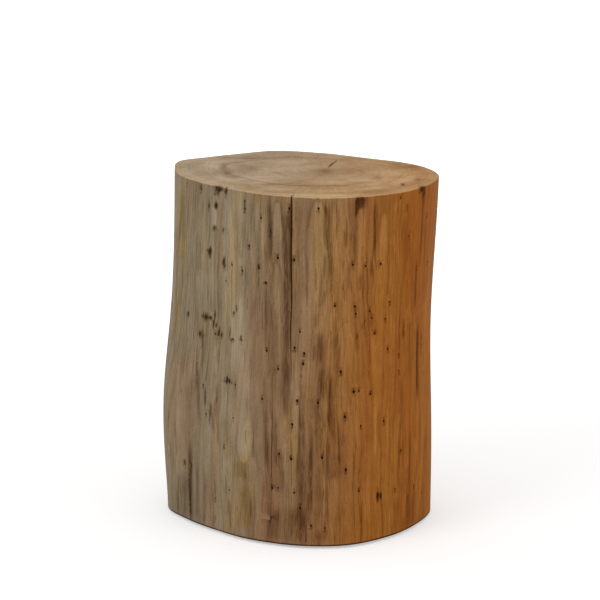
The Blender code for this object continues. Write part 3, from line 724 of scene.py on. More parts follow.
def take_block(row_low, row_high, column_low, column_high):
    """Takes out the block's faces, unless another hole has some of them already.

    Returns the block's outer points in order: along its bottom, up its far side and back.
    """
    columns = [c % COLUMNS for c in range(column_low, column_high)]
    if taken[row_low:row_high, columns].any():
        return None
    taken[row_low:row_high, columns] = True
    loop = [(row_low, c) for c in range(column_low, column_high)]
    loop += [(r, column_high) for r in range(row_low, row_high)]
    loop += [(row_high, c) for c in range(column_high, column_low, -1)]
    loop += [(r, column_low) for r in range(row_high, row_low, -1)]
    return [grid_index(r, c) for r, c in loop]


def sink(loop, centre, across, along, into, profile, stretch=1.0, even=True):
    """Rings inside the loop: (radius, depth) pairs, then a closing point a little below the last.

    The points of a ring are spaced evenly, or else each lies straight in from its point of the loop.
    """
    place = np.array(centre)
    outer = [np.array(vertices[v]) - place for v in loop]
    turns = [math.atan2(spot @ along, spot @ across) for spot in outer]
    count = len(loop)
    if even:
        turns = [turns[0] + 2 * math.pi * k / count for k in range(count)]
    ring = loop
    for radius, down in profile:
        fresh = [
            add_point(
                place + across * radius * math.cos(a) + along * radius * stretch * math.sin(a) + into * down,
                down, source,
            )
            for a, source in zip(turns, loop)
        ]
        faces.extend((ring[k - 1], ring[k], fresh[k], fresh[k - 1]) for k in range(count))
        ring = fresh
    end = add_point(place + into * (profile[-1][1] + END_DROP), 1.0, loop[0])
    faces.extend((ring[k - 1], ring[k], end) for k in range(count))


def lines_round(place, radius, cell):
    """The grid lines before and after a hole: a cell clear of its own, and further where cells are small."""
    clear = (radius + HOLE_MARGIN) / cell
    before = min(math.floor(place) - 1, math.floor(place - clear))
    return before, max(math.floor(place) + 2, math.ceil(place + clear))


for row, column, size in holes:
    across = (skin_point(row, column + 0.4) - skin_point(row, column - 0.4)) / 0.8
    climb = (skin_point(row + 0.4, column) - skin_point(row - 0.4, column)) / 0.8
    cell_width, cell_height = np.linalg.norm(across), np.linalg.norm(climb)
    radius = HOLE_DIAMETER / 2 * size
    stretch = min(HOLE_STRETCH + HOLE_STRETCH_SPREAD * chance.random(), HOLE_LONGEST / radius)
    block = (*lines_round(row, radius * stretch, cell_height), *lines_round(column, radius, cell_width))
    # no hole breaks through the foot's rim
    if block[0] < first_side and block[1] > FOOT_RINGS - 2:
        continue
    loop = take_block(*block)
    if loop:
        across = across / cell_width
        into = -np.cross(across, climb)
        into = into / np.linalg.norm(into)
        sink(
            loop, skin_point(row, column), across, np.cross(across, into), into,
            [(radius * share, down) for share, down in HOLE_PROFILE], stretch,
        )

# The glides' pockets: a flat-bottomed bore in the foot, with a pilot hole for the screw
for number in range(1, 5):
    low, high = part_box(f"glide_cup_{number}")
    middle = (low + high) / 2
    bore = (high.x - low.x) / 2 + POCKET_CLEARANCE
    apart = np.hypot(points[:FOOT_RINGS, :, 0] - middle.x, points[:FOOT_RINGS, :, 1] - middle.y)
    near_rows, near_columns = np.nonzero(apart < bore + POCKET_MARGIN)
    # a pocket may lie across the line where the columns start again
    if np.ptp(near_columns) > COLUMNS / 2:
        near_columns = (near_columns + COLUMNS // 2) % COLUMNS - COLUMNS // 2
    loop = take_block(
        near_rows.min() - 1, near_rows.max() + 1, int(near_columns.min()) - 1, int(near_columns.max()) + 1
    )
    sink(
        loop, (middle.x, middle.y, FOOT_Z), *np.eye(3),
        (
            (bore + POCKET_LIP, 0.0001), (bore, 0.0006), (bore, POCKET_DEPTH),
            (PILOT_RADIUS, POCKET_DEPTH), (PILOT_RADIUS, PILOT_DEPTH - FOOT_Z),
        ),
        even=False,
    )

for row, column in np.argwhere(~taken):
    beside = column + 1
    corners = (row, column), (row, beside), (row + 1, beside), (row + 1, column)
    faces.append(tuple(grid_index(*corner) for corner in corners))
for row, turn in ((0, -1), (len(rows) - 1, 1)):
    hub = add_point((heart.x, heart.y, points[row, :, 2].mean()), 0.0, grid_index(row, 0))
    for column in range(COLUMNS):
        pair = (grid_index(row, column), grid_index(row, column + 1))[::turn]
        faces.append((*pair, hub))

used = sorted({v for face in faces for v in face})
renumber = {old: new for new, old in enumerate(used)}
skin = bpy.data.meshes.new("trunk")
skin.from_pydata([vertices[v] for v in used], [], [[renumber[v] for v in face] for face in faces])
checker = bmesh.new()
checker.from_mesh(skin)
bmesh.ops.recalc_face_normals(checker, faces=checker.faces)
checker.to_mesh(skin)
checker.free()
skin.shade_smooth()
skin.set_sharp_from_angle(angle=CREASE_ANGLE)

# Marks that the finish reads, stored for each point of the skin. The heartwood's edge is an oval of its
# own, nearer the pith on the right and front.
HEART_SHARES = ((0, 0.50), (60, 0.62), (120, 0.68), (180, 0.67), (230, 0.65), (270, 0.61), (320, 0.53))
CHECK_SHADE_DEPTH = 0.004
HOLE_SHADE_DEPTH = 0.003


def keep_on_skin(name, values, kind="FLOAT", field="value"):
    stored = skin.attributes.new(name, kind, "POINT")
    stored.data.foreach_set(field, np.array(values, np.float32).ravel())


sources = [like[v] for v in used]
end_grain = np.select([row_part == SEAT_RIM, row_part == FOOT_RIM], [row_share, 1 - row_share], on_ends * 1.0)
for name, values in (
    ("ring", ring_share), ("heart", ring_share / rounded(HEART_SHARES, bearing)), ("end_grain", end_grain),
    ("foot", row_part <= FOOT_RIM), ("stain", stain), ("tone", tone), ("tint", tint),
):
    keep_on_skin(name, np.broadcast_to(values, bearing.shape).ravel()[sources])
in_checks = np.zeros(len(vertices))
in_checks[:depth.size] = np.minimum(depth / CHECK_SHADE_DEPTH, 1).ravel()
keep_on_skin("check", in_checks[used])
keep_on_skin("sunk", np.minimum(np.array(sunk)[used] / HOLE_SHADE_DEPTH, 1))
fibre = np.stack([around_x * TRUNK_RADIUS, around_y * TRUNK_RADIUS, up], axis=2)
keep_on_skin("fibre", fibre.reshape(-1, 3)[sources], "FLOAT_VECTOR", "vector")

trunk = placed("trunk", skin)
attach(trunk, "root")
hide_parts("trunk_block")


# The trunk's finish
# Bare sanded wood under a thin wax. Straw-grey sapwood at the left and front turns honey brown at the
# right, partly its own colour and partly painted warm light from the right. The side shows long fibres,
# brown drip lines and pale flames where the knife cut through a ring.

WAX_ROUGHNESS = 0.56
WAX_GLOSS = 0.02


def paint(red, green, blue):
    """A colour given as screen values from 0 to 255."""
    def light(value):
        value = value / 255
        return value / 12.92 if value <= 0.04045 else ((value + 0.055) / 1.055) ** 2.4

    return (light(red), light(green), light(blue), 1.0)


class Wire:
    """What comes out of one socket of a finish. It takes part in sums like a number."""

    def __init__(self, finish, socket):
        self.finish, self.socket = finish, socket

    def __add__(self, other):
        return self.finish.sum("ADD", self, other)

    def __sub__(self, other):
        return self.finish.sum("SUBTRACT", self, other)

    def __mul__(self, other):
        return self.finish.sum("MULTIPLY", self, other)

    def __pow__(self, other):
        return self.finish.sum("POWER", self, other)

    def ease(self, low, high, first=0.0, last=1.0):
        """Runs smoothly from first to last while the value runs from low to high."""
        inputs = {"Value": self, "From Min": low, "From Max": high, "To Min": first, "To Max": last}
        return self.finish.make("MapRange", inputs, interpolation_type="SMOOTHSTEP")


class Finish:
    """The nodes of a material or a world. Its methods make nodes and return the wires out of them."""

    def __init__(self, owner):
        self.owner = owner
        owner.use_nodes = True
        self.nodes, self.links = owner.node_tree.nodes, owner.node_tree.links
        self.nodes.clear()

    def make(self, kind, inputs, out=0, **settings):
        node = self.nodes.new("ShaderNode" + kind)
        for name, value in settings.items():
            setattr(node, name, value)
        for name, value in inputs.items():
            if isinstance(value, Wire):
                self.links.new(value.socket, node.inputs[name])
            else:
                node.inputs[name].default_value = value
        return Wire(self, node.outputs[out]) if node.outputs else None

    def sum(self, kind, first, second=0.0):
        return self.make("Math", {0: first, 1: second}, operation=kind)

    def blend(self, share, first, second, kind="MIX"):
        return self.make("Mix", {0: share, 6: first, 7: second}, out=2, data_type="RGBA", blend_type=kind)

    def tinted(self, share, base, colour):
        """The base, taken by a share towards its product with a colour."""
        return self.blend(share, base, self.blend(1.0, base, colour, "MULTIPLY"))

    def between(self, share, first, second):
        """A number that goes from the first to the second."""
        return self.make("Mix", {0: share, 2: first, 3: second}, data_type="FLOAT")

    def marked(self, name, out="Fac"):
        """What the mesh stores for each of its points."""
        return self.make("Attribute", {}, out=out, attribute_name=name)

    def place(self):
        return self.make("NewGeometry", {}, out="Position")

    def split(self, place, axes):
        return [self.make("SeparateXYZ", {"Vector": place}, out=axis) for axis in axes]

    def stretched(self, place, across, along, shift=0.0):
        inputs = {"Vector": place, "Scale": (across, across, along), "Location": (shift, shift, shift)}
        return self.make("Mapping", inputs)

    def clouds(self, place, scale=1.0, detail=2.0, rough=0.5, warp=0.0, out=0):
        inputs = {"Vector": place, "Scale": scale, "Detail": detail, "Roughness": rough, "Distortion": warp}
        return self.make("TexNoise", inputs, out=out)

    def drawn_out(self, place, across, along, shift=0.0, **looks):
        """Clouds with so many waves to the metre across the grain and along it."""
        return self.clouds(self.stretched(place, across, along, shift), **looks)

    def shades(self, value, places, colours):
        """A run of colours, each at its own place from 0 to 1."""
        node = self.nodes.new("ShaderNodeValToRGB")
        ramp = node.color_ramp
        while len(ramp.elements) < len(places):
            ramp.elements.new(0.5)
        for element, place, colour in zip(ramp.elements, places, colours):
            element.position = place
            element.color = colour if len(colour) == 4 else paint(*colour)
        self.links.new(value.socket, node.inputs[0])
        return Wire(self, node.outputs[0])

    def bump(self, height, strength, distance):
        return self.make("Bump", {"Strength": strength, "Distance": distance, "Height": height})

    def by_eye(self):
        """1 for what is seen straight, in a mirror or through glass, and 0 for light on its way."""
        camera, mirror, glass = (
            self.make("LightPath", {}, out=f"Is {kind} Ray") for kind in ("Camera", "Glossy", "Transmission")
        )
        return self.sum("MAXIMUM", self.sum("MAXIMUM", camera, mirror), glass)

    def surface(self, **inputs):
        """The finished surface. The inputs are the shader's, with _ for a space."""
        sockets = {name.replace("_", " "): value for name, value in inputs.items()}
        self.make("OutputMaterial", {"Surface": self.make("BsdfPrincipled", sockets)})


wood = Finish(bpy.data.materials.new("trunk_wood"))
along = wood.marked("fibre", out="Vector")
plan = wood.place()
MARKS = ("stain", "tone", "tint", "ring", "end_grain", "foot", "heart", "sunk", "check")
stain_mark, tone_mark, tint_mark, ring_mark, end_mark, foot_mark, heart_mark, sunk_mark, check_mark = (
    wood.marked(name) for name in MARKS
)

# Fibres, from bands a hand wide down to single hairs
drift = wood.drawn_out(along, 10, 8, detail=3, out="Color")
drift = wood.make("VectorMath", {0: drift, 1: (0.5, 0.5, 0.5)}, operation="SUBTRACT")
grain = wood.make("VectorMath", {0: drift, 1: (0.018, 0.018, 0), 2: along}, operation="MULTIPLY_ADD")
bands = wood.drawn_out(along, 22, 3)
patches = wood.drawn_out(along, 60, 26, 6, detail=3, rough=0.55)
streaks = wood.drawn_out(along, 80, 11, 3, detail=3, rough=0.55, warp=0.6)
lines = wood.drawn_out(grain, 250, 20, 7, detail=3, rough=0.62, warp=0.4)
fine_lines = wood.drawn_out(grain, 760, 20, 24, warp=0.3)
grit = wood.drawn_out(along, 520, 300, 30, detail=3, rough=0.65)
hairs = wood.drawn_out(grain, 1300, 60, 1, detail=1, rough=0.6)
long_lines = wood.drawn_out(grain, 400, 4.5, 12, detail=1)
short_lines = wood.drawn_out(grain, 620, 20, 15, rough=0.6)
pale_lines = wood.drawn_out(grain, 210, 9, 18)
hue = wood.drawn_out(along, 15, 3.5, 5, warp=0.4)
combed = hue.ease(0.38, 0.60, 1.45, 0.55)
hue = hue + tint_mark * 0.13

# Growth rings that the surface runs in and out of: their edges are long lines with pointed ends
depth_in_rings = wood.drawn_out(grain, 13, 1.1, 9, detail=1, rough=0.4)
wobble = wood.drawn_out(along, 70, 3.5, 2)
in_ring = wood.sum("FRACT", depth_in_rings * 17 + wobble * 1.2)
late_wood = in_ring.ease(0.35, 0.93) * in_ring.ease(0.93, 1.0, 1.0, 0.0)

pale_streak = wood.sum("MAXIMUM", tone_mark, 0.0)
value = (bands - 0.5) * 0.34 + 0.62
for pattern, amount in ((patches, 0.30), (streaks, 0.30), (hairs, 0.20), (grit, 0.34)):
    value = value + (pattern - 0.5) * amount
for pattern, amount in ((lines, 0.25), (fine_lines, 0.40)):
    value = value + (pattern - 0.5) * combed * amount
for pattern, amount in (
    (late_wood, -0.11), (long_lines.ease(0.63, 0.70), -0.24), (short_lines.ease(0.60, 0.72), -0.16),
    (pale_lines.ease(0.58, 0.72), 0.10), (pale_streak, 0.34),
):
    value = value + pattern * amount

SIDE_PLACES = (0.0, 0.33, 0.62, 1.0)
SIDE_SHADES = (
    ((84, 67, 47), (118, 101, 78), (145, 129, 104), (175, 162, 137)),
    ((86, 63, 43), (122, 98, 72), (150, 126, 98), (178, 156, 128)),
    ((84, 64, 36), (122, 101, 66), (150, 129, 90), (180, 160, 122)),
    ((98, 52, 14), (140, 84, 32), (166, 105, 44), (190, 132, 68)),
    ((88, 38, 10), (136, 76, 28), (162, 98, 42), (186, 124, 64)),
)
straw, pink_straw, yellow_straw, honey, red_honey = (
    wood.shades(value, SIDE_PLACES, colours) for colours in SIDE_SHADES
)
straw = wood.blend(hue.ease(0.34, 0.50), yellow_straw, straw)
straw = wood.blend(hue.ease(0.50, 0.68), straw, pink_straw)
honey = wood.blend(hue.ease(0.46, 0.66), honey, red_honey)

# How much of the colour is honey, from the left to the right: partly the wood's own colour and partly painted
# warm light from the right
HONEY_PLACES = (0.05, 0.20, 0.26, 0.35, 0.44, 0.49, 0.53, 0.62, 0.68, 0.76)
HONEY_SHARES = (0.0, 0.09, 0.15, 0.29, 0.35, 0.39, 0.50, 0.73, 0.87, 1.0)
to_right, to_back, to_top = wood.split(along, "XYZ")
share_place = to_right * (0.5 / TRUNK_RADIUS) + 0.5 + (streaks - 0.5) * 0.12
share_place = share_place + to_top.ease(0.22, 0.46, 0.0, -0.095) + to_top.ease(0.0, 0.10, 0.05, 0.0)
honey_and_warm_light_share = wood.shades(share_place, HONEY_PLACES, [(share, share, share, 1) for share in HONEY_SHARES])
honey_and_warm_light_share = honey_and_warm_light_share * (to_back * (1 / TRUNK_RADIUS)).ease(0.0, 1.0, 1.0, 0.62)
side = wood.blend(honey_and_warm_light_share, straw, honey)
# Painted warm light: the grazing right edge is tinted warmer still.
painted_warm_edge = to_right.ease(0.66 * TRUNK_RADIUS, 0.84 * TRUNK_RADIUS)
side = wood.tinted(painted_warm_edge, side, paint(255, 250, 230))

dark_streak = wood.sum("MAXIMUM", tone_mark * -1.0, 0.0)
strands = (lines * 0.5 + fine_lines * 0.5).ease(0.40, 0.62, 1.06, 0.68)
side = wood.tinted(wood.sum("MINIMUM", dark_streak * strands, 0.92), side, paint(154, 132, 112))

# The sawn ends: rings round the pith, a brown oval at the edge of the heartwood, fine rays
ring_warp = wood.clouds(plan, scale=22, detail=3)
ring_place = ring_mark + (ring_warp - 0.5) * 0.035
ring_line = wood.make("CombineXYZ", {"X": ring_place * 60, "Y": ring_warp * 0.8})
rings = wood.clouds(ring_line, detail=3, rough=0.65)
broad_rings = wood.clouds(wood.make("CombineXYZ", {"X": ring_place * 11, "Z": 4.0}), detail=1)
rays = wood.drawn_out(along, 420, 0, rough=0.6)
end_patches = wood.clouds(plan, scale=13, detail=4, rough=0.6)
end_grit = wood.clouds(plan, scale=330, detail=3, rough=0.7)
end_value = (rings - 0.5) * 0.45 + 0.50
for pattern, amount in ((broad_rings, 0.26), (rays, 0.36), (end_patches, 1.3), (end_grit, 0.75)):
    end_value = end_value + (pattern - 0.5) * amount
end_ragged = (rings * 0.5 + end_grit * 0.5).ease(0.38, 0.62, 0.55, 1.25)
end_value = end_value + pale_streak * 0.30 + dark_streak * end_ragged * -0.34

END_PLACES = (0.0, 0.35, 0.65, 1.0)
END_SHADES = (
    ((118, 96, 72), (160, 139, 113), (187, 167, 140), (208, 190, 165)),
    ((126, 84, 46), (167, 128, 86), (195, 157, 112), (216, 182, 138)),
)
cool_end, warm_end = (wood.shades(end_value, END_PLACES, colours) for colours in END_SHADES)
end_right, end_back = wood.split(plan, "XY")
# The seat turns warmer to the right and front: partly the wood's own colour, partly painted warm light from
# the right.
end_warmth_and_warm_light = end_right + end_back * -0.36 + (end_patches - 0.5) * -0.16
end = wood.blend(end_warmth_and_warm_light.ease(-0.15, 0.145), cool_end, warm_end)
for share, colour in (
    (tint_mark.ease(0.0, 1.2), (250, 232, 222)), (tint_mark.ease(-1.2, 0.0, 1.0, 0.0), (246, 252, 222)),
    (end_warmth_and_warm_light.ease(0.09, 0.19) * 0.6, (255, 236, 214)),
):
    end = wood.tinted(share, end, paint(*colour))
oval = heart_mark.ease(0.94, 0.99) * heart_mark.ease(0.99, 1.035, 1.0, 0.0)
oval = oval * (end_patches + rings * 0.5).ease(0.5, 0.95, 0.05, 0.9)
oval = oval * to_right.ease(0.1 * TRUNK_RADIUS, 0.8 * TRUNK_RADIUS, 0.52, 0.15)
outer_ring = ring_place.ease(0.78, 0.87) * ring_place.ease(0.87, 0.94, 1.0, 0.0)
for share, colour in (
    (heart_mark.ease(0.85, 1.02, 0.16, 0.0), (150, 122, 94)), (oval, (116, 84, 66)),
    (outer_ring * 0.22, (150, 112, 76)), (ring_mark.ease(0.02, 0.12, 0.32, 0.0), (140, 96, 60)),
    (ring_mark.ease(0.93, 1.0, 0.0, 0.40), (200, 168, 122)),
):
    end = wood.blend(share, end, paint(*colour))

# The softened rims: round the seat pale worn wood with a painted highlight on it, round the foot painted
# shade
whole = wood.blend(end_mark.ease(0.2, 0.8), side, end)
# Pale worn wood and a painted highlight along the seat's rim, strongest at the front, weaker at the left and
# weakest at the right.
rim = end_mark * (end_mark * -1.0 + 1.0) * 4.0 * (foot_mark * -0.8 + 1.0)
rim = rim ** 2.5 * streaks.ease(0.35, 0.6, 0.25, 0.8)
rim_highlight_across = to_right * (1 / TRUNK_RADIUS)
rim = rim * (rim_highlight_across.ease(-0.12, 0.04, 0.62, 1.25) * rim_highlight_across.ease(0.62, 0.92, 1.0, 0.4))
whole = wood.blend(rim, whole, wood.blend(honey_and_warm_light_share, paint(212, 186, 140), paint(220, 168, 106)))
# Painted shade: the foot's rounded edge and the lowest 2 to 3 mm of the side are darkened where the shadow
# under the foot falls.
foot_edge_painted_shade = foot_mark * end_mark.ease(0.02, 0.25) * end_mark.ease(0.75, 1.0, 1.0, 0.2)
foot_edge_painted_shade = wood.sum("MAXIMUM", foot_edge_painted_shade, to_top.ease(FOOT_Z + 0.0016, FOOT_Z + 0.0034, 1.0, 0.0))
foot_edge_painted_shade = foot_edge_painted_shade * end_mark.ease(0.85, 1.0, 0.92, 0.2)
whole = wood.tinted(foot_edge_painted_shade, whole, paint(92, 76, 66))

# What the beetles, the fungus and the drying left, and painted shade down the checks and holes
ragged = wood.drawn_out(along, 420, 170, 21, detail=3, rough=0.65)
ragged = wood.between(end_mark, ragged, wood.clouds(plan, scale=420, detail=3))
stained = (stain_mark + (ragged - 0.47) * 1.5) * stain_mark.ease(0.06, 0.20)
whole = wood.tinted(stained.ease(0.05, 0.6, 0.0, 0.75), whole, paint(150, 132, 110))
whole = wood.blend(stained.ease(0.32, 0.90) * 0.92, whole, paint(37, 26, 13))
# Painted shade in the hollows: the walls of checks and beetle holes turn a darker brown with their depth.
for mark, in_straw, in_honey in (
    (check_mark, (116, 78, 36), (128, 68, 24)), (sunk_mark, (104, 66, 34), (112, 58, 20)),
):
    walls = wood.blend(honey_and_warm_light_share, paint(*in_straw), paint(*in_honey))
    whole = wood.blend(mark.ease(0.0, 0.9), whole, walls)

hollows = lines * 0.6 + hairs * 0.4 + late_wood * 0.35
end_hollows = rings * 0.5 + wood.clouds(plan, scale=900) * 0.35
bump = wood.bump(wood.between(end_mark, hollows, end_hollows), 0.35, 0.0006)
rough = (streaks + hairs * 0.4).ease(0.4, 1.0, WAX_ROUGHNESS - 0.06, WAX_ROUGHNESS + 0.10)
rough = wood.sum("MAXIMUM", rough, foot_mark * 0.8)
wood.surface(Base_Color=whole, Roughness=rough, Specular_IOR_Level=WAX_GLOSS, Normal=bump)
trunk.data.materials.append(wood.owner)


# The glides' cups
# Moulded nylon cups, 30 mm across, pressed into the foot's pockets with their mouths to the floor. The
# mould leaves a fine matt skin that is polished where the cup was pushed home.

nylon = Finish(bpy.data.materials.new("dark_nylon"))
mould_skin = nylon.clouds(nylon.place(), scale=2600)
mould_flow = nylon.clouds(nylon.place(), scale=160, detail=3, warp=1.5)
nylon_colour = nylon.shades(mould_flow, (0.3, 0.7), ((52, 40, 31), (66, 52, 41)))
nylon_rough = mould_flow.ease(0.3, 0.7, 0.42, 0.58)
nylon_bump = nylon.bump(mould_skin, 0.25, 0.0001)
nylon.surface(Base_Color=nylon_colour, Roughness=nylon_rough, Normal=nylon_bump)
for number in range(1, 5):
    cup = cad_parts[f"glide_cup_{number}"]
    cup.data.materials.clear()
    cup.data.materials.append(nylon.owner)


# The glides' felts
# Discs of dense pressed wool felt with an eye for the screw, glued into the cups. Their cut edges are
# a little ragged and their fibres lie every way.

FELT_RADIUS = 0.0125
FELT_EYE_RADIUS = 0.006
FELT_SOFTENING = 0.0009
FELT_STEPS = 112
FELT_CELL = 0.0007
FELT_FUZZ = 0.00022


def softened_ring(inner, outer, high, corner):
    """The outline of a ring's cross-section with rounded corners, as (radius, height) pairs."""
    outline = []
    for centre_r, centre_z, start in (
        (outer - corner, corner, -90), (outer - corner, high - corner, 0),
        (inner + corner, high - corner, 90), (inner + corner, corner, 180),
    ):
        for step in range(5):
            angle = math.radians(start + 90 * step / 4)
            outline.append((centre_r + corner * math.cos(angle), centre_z + corner * math.sin(angle)))
    steps = []
    for (r0, z0), (r1, z1) in zip(outline, outline[1:] + outline[:1]):
        pieces = max(1, round(math.hypot(r1 - r0, z1 - z0) / FELT_CELL))
        steps += [(r0 + (r1 - r0) * k / pieces, z0 + (z1 - z0) * k / pieces) for k in range(pieces)]
    return steps


def turned_ring(name, outline, steps):
    """A mesh turned about +Z from the closed outline of its cross-section."""
    count = len(outline)
    spots, quads = [], []
    for k in range(steps):
        angle, beyond = 2 * math.pi * k / steps, (k + 1) % steps
        spots += [(r * math.cos(angle), r * math.sin(angle), z) for r, z in outline]
        for j in range(count):
            above = (j + 1) % count
            quads.append((k * count + j, beyond * count + j, beyond * count + above, k * count + above))
    mesh = bpy.data.meshes.new(name)
    mesh.from_pydata(spots, [], quads)
    mesh.shade_smooth()
    return mesh


felt = Finish(bpy.data.materials.new("pressed_felt"))
tufts = felt.clouds(felt.place(), scale=700, detail=4, rough=0.7, warp=2.0)
wool = felt.drawn_out(felt.place(), 3200, 900, detail=3, rough=0.7, warp=3.0)
felt_value = tufts * 0.5 + wool * 0.5
felt_colour = felt.shades(
    felt_value, (0.30, 0.50, 0.62, 0.75), ((84, 79, 72), (110, 104, 96), (132, 126, 117), (160, 154, 144))
)
felt_bump = felt.bump(felt_value, 0.8, 0.0004)
felt.surface(Base_Color=felt_colour, Roughness=0.95, Normal=felt_bump, Sheen_Weight=0.3, Sheen_Roughness=0.5)

for number in range(1, 5):
    node = f"glide_felt_{number}"
    low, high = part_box(node)
    outline = softened_ring(FELT_EYE_RADIUS, FELT_RADIUS, high.z - low.z, FELT_SOFTENING)
    ring = turned_ring(f"felt_ring_{number}", outline, FELT_STEPS)
    for vertex in ring.vertices:
        x, y, z = vertex.co
        ragged = noise.noise(Vector((x, y, z)) * 900 + Vector((number * 9, 0, 0)))
        ragged = FELT_FUZZ * (0.5 + 0.5 * ragged)
        radius = math.hypot(x, y)
        outside = radius > (FELT_EYE_RADIUS + FELT_RADIUS) / 2
        share = (radius - ragged if outside else radius + ragged) / radius
        vertex.co.x, vertex.co.y = x * share, y * share
        if z > (high.z - low.z) / 2:
            vertex.co.z = z - ragged
    ring.materials.append(felt.owner)
    pad = placed(f"felt_ring_{number}", ring)
    pad.location = ((low.x + high.x) / 2, (low.y + high.y) / 2, low.z)
    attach(pad, "root")
    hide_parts(node)


# The glides' screws
# Countersunk steel wood screws, 4.2 x 25 mm, with a cross recess and a rolled thread, plated with zinc.
# Each goes up through its cup into the trunk, so its head faces the floor.

SCREW_LENGTH = 0.025
SCREW_RADIUS = 0.0021
SCREW_CORE_RADIUS = 0.0014
SCREW_HEAD_RADIUS = 0.004
SCREW_HEAD_EDGE = 0.0004
SCREW_PLAIN_LENGTH = 0.005
SCREW_TIP_LENGTH = 0.006
SCREW_POINT_SHARE = 0.03
THREAD_PITCH = 0.0018
THREAD_RIDGE_SHARE = 0.32
THREAD_TAPER = 1.6
THREAD_STEPS = 40
RECESS_SPAN = 0.0046
RECESS_BLADE = 0.0010
RECESS_DEPTH = 0.0016
RECESS_END_SHARE = 0.45


def thread_radius(height, turn):
    """The radius of the threaded shank at a height above the head's face, and a share of a turn."""
    to_tip = min(1.0, (SCREW_LENGTH - height) / SCREW_TIP_LENGTH)
    core = SCREW_CORE_RADIUS * max(to_tip, SCREW_POINT_SHARE)
    crest = abs(((height / THREAD_PITCH - turn) % 1) - 0.5) * 2
    ridge = max(0.0, 1 - (1 - crest) / THREAD_RIDGE_SHARE)
    start = min(1.0, max(0.0, (height - SCREW_HEAD_RADIUS - SCREW_PLAIN_LENGTH) / THREAD_PITCH))
    return core + (SCREW_RADIUS - SCREW_CORE_RADIUS) * ridge * start * min(1.0, to_tip * THREAD_TAPER)


def screw_mesh():
    """The head's face and flank, then the shank, as rings that climb from the head to the tip."""
    flank = SCREW_HEAD_RADIUS - SCREW_CORE_RADIUS
    head = [(0.0, SCREW_HEAD_RADIUS * share) for share in (0.25, 0.5, 0.75, 0.96)]
    head += [(0.00008, SCREW_HEAD_RADIUS * 0.995), (SCREW_HEAD_EDGE, SCREW_HEAD_RADIUS)]
    head += [(SCREW_HEAD_EDGE + flank * k / 4, SCREW_HEAD_RADIUS - flank * k / 4) for k in range(1, 5)]
    shank_start = SCREW_HEAD_EDGE + flank
    count = round((SCREW_LENGTH - shank_start) / (THREAD_PITCH / 10))
    turns = [k / THREAD_STEPS for k in range(THREAD_STEPS)]
    rings = [(height, [radius] * THREAD_STEPS) for height, radius in head]
    for step in range(1, count + 1):
        height = shank_start + (SCREW_LENGTH - shank_start) * step / count
        rings.append((height, [thread_radius(height, turn) for turn in turns]))
    spots = [(0, 0, 0)]
    for height, radii in rings:
        for radius, turn in zip(radii, turns):
            angle = 2 * math.pi * turn
            spots.append((radius * math.cos(angle), radius * math.sin(angle), height))
    faces = [(0, 1 + (k + 1) % THREAD_STEPS, 1 + k) for k in range(THREAD_STEPS)]
    for level in range(len(rings) - 1):
        for k in range(THREAD_STEPS):
            first = 1 + level * THREAD_STEPS
            a, b = first + k, first + (k + 1) % THREAD_STEPS
            faces.append((a, b, b + THREAD_STEPS, a + THREAD_STEPS))
    faces.append(tuple(range(len(spots) - THREAD_STEPS, len(spots))))
    mesh = bpy.data.meshes.new("screw")
    mesh.from_pydata(spots, [], faces)
    return mesh


def recess_mesh():
    """Two tapering blades that cross, to be cut out of the head."""
    cutter = bmesh.new()
    for quarter in (0, 1):
        spots = []
        for height, share in ((-RECESS_DEPTH * 0.5, 1.0), (0.0, 1.0), (RECESS_DEPTH, RECESS_END_SHARE)):
            half_long, half_wide = RECESS_SPAN / 2 * share, RECESS_BLADE / 2 * (0.5 + 0.5 * share)
            for x, y in ((-1, -1), (1, -1), (1, 1), (-1, 1)):
                place = (x * half_long, y * half_wide, height)
                spots.append(cutter.verts.new(place if quarter == 0 else (-place[1], place[0], height)))
        for level in (0, 4):
            for k in range(4):
                j = (k + 1) % 4
                cutter.faces.new([spots[level + corner] for corner in (k, j, 4 + j, 4 + k)])
        cutter.faces.new(spots[3::-1])
        cutter.faces.new(spots[8:])
    mesh = bpy.data.meshes.new("recess_cutter")
    cutter.to_mesh(mesh)
    cutter.free()
    return mesh


blank, blades = placed("screw_blank", screw_mesh()), placed("recess_cutter", recess_mesh())
cut = blank.modifiers.new("recess", "BOOLEAN")
cut.operation = "DIFFERENCE"
cut.solver = "EXACT"
cut.use_self = True
cut.object = blades
bpy.context.view_layer.update()
cut_blank = blank.evaluated_get(bpy.context.evaluated_depsgraph_get())
finished_screw = bpy.data.meshes.new_from_object(cut_blank)
finished_screw.name = "wood_screw"
for made in (blank, blades):
    bpy.data.objects.remove(made)
finished_screw.shade_smooth()
finished_screw.set_sharp_from_angle(angle=math.radians(35))

zinc = Finish(bpy.data.materials.new("zinc_plate"))
zinc_place = zinc.make("TexCoord", {}, out="Object")
scuffs = zinc.drawn_out(zinc_place, 900, 5200, detail=4, rough=0.7, warp=0.5)
spangle = zinc.clouds(zinc_place, scale=1500)
zinc_colour = zinc.shades(spangle, (0.3, 0.7), ((196, 194, 184), (214, 212, 206)))
zinc_rough = scuffs.ease(0.35, 0.7, 0.26, 0.46)
zinc_bump = zinc.bump(scuffs, 0.2, 0.00005)
zinc.surface(Base_Color=zinc_colour, Metallic=1.0, Roughness=zinc_rough, Normal=zinc_bump)
finished_screw.materials.append(zinc.owner)

for number in range(1, 5):
    node = f"glide_screw_{number}"
    low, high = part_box(node)
    screw = placed(f"wood_screw_{number}", finished_screw.copy())
    screw.location = ((low.x + high.x) / 2, (low.y + high.y) / 2, low.z)
    screw.rotation_euler.z = math.radians(31 * number)
    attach(screw, "root")
    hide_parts(node)


# The studio
# A white floor that the stool stands on, one broad soft lamp at the upper left, a weaker and slightly
# warmer one at the right, a faint one above, and even light from all round.

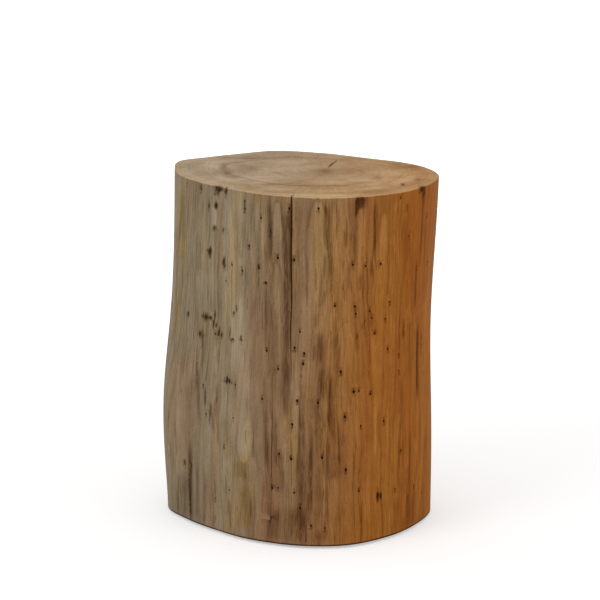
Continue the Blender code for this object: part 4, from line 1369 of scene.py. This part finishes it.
FLOOR_HALF = 30.0
FLOOR_COLOUR = 0.80
FLOOR_GLOW, FLOOR_GLOW_FAR = 0.42, 1.0
GLOW_NEAR, GLOW_FAR = 0.5, 2.2
ROOM_LIGHT = 0.78

floor_mesh = bpy.data.meshes.new("floor")
corners = ((-1, -1), (1, -1), (1, 1), (-1, 1))
floor_mesh.from_pydata([(x * FLOOR_HALF, y * FLOOR_HALF, 0) for x, y in corners], [], [(0, 1, 2, 3)])
floor = placed("floor", floor_mesh)
white = Finish(bpy.data.materials.new("floor_white"))
matt = white.make("BsdfDiffuse", {"Color": (FLOOR_COLOUR, FLOOR_COLOUR, FLOOR_COLOUR, 1)})
from_stool = white.make("VectorMath", {0: white.place()}, out="Value", operation="LENGTH")
strength = white.by_eye() * from_stool.ease(GLOW_NEAR, GLOW_FAR, FLOOR_GLOW, FLOOR_GLOW_FAR)
glow = white.make("Emission", {"Color": (1, 1, 1, 1), "Strength": strength})
white.make("OutputMaterial", {"Surface": white.make("AddShader", {0: matt, 1: glow})})
floor_mesh.materials.append(white.owner)

room = Finish(bpy.data.worlds.new("studio"))
bpy.context.scene.world = room.owner
background = room.make("Background", {"Strength": room.by_eye().ease(0.0, 1.0, ROOM_LIGHT, 1.0)})
room.make("OutputWorld", {"Surface": background})

STOOL_MIDDLE = Vector((0, 0, 0.25))
# name, place, size, power, colour
LAMPS = (
    ("left_lamp", (-2.6, -2.2, 2.4), 2.0, 32, (1, 0.98, 0.95)),
    ("right_lamp", (2.8, -2.0, 1.2), 1.6, 14, (1, 0.93, 0.84)),
    ("top_lamp", (0, 0.4, 3.0), 2.4, 8, (1, 1, 1)),
)
for name, place, size, power, colour in LAMPS:
    lamp = placed(name, bpy.data.lights.new(name, "AREA"))
    lamp.location = place
    lamp.rotation_euler = (STOOL_MIDDLE - Vector(place)).to_track_quat("-Z", "Y").to_euler()
    lamp.data.shape = "SQUARE"
    lamp.data.size = size
    lamp.data.energy = power
    lamp.data.color = colour
    lamp.visible_camera = False
    lamp.visible_glossy = False

bpy.context.scene.view_settings.view_transform = "Standard"
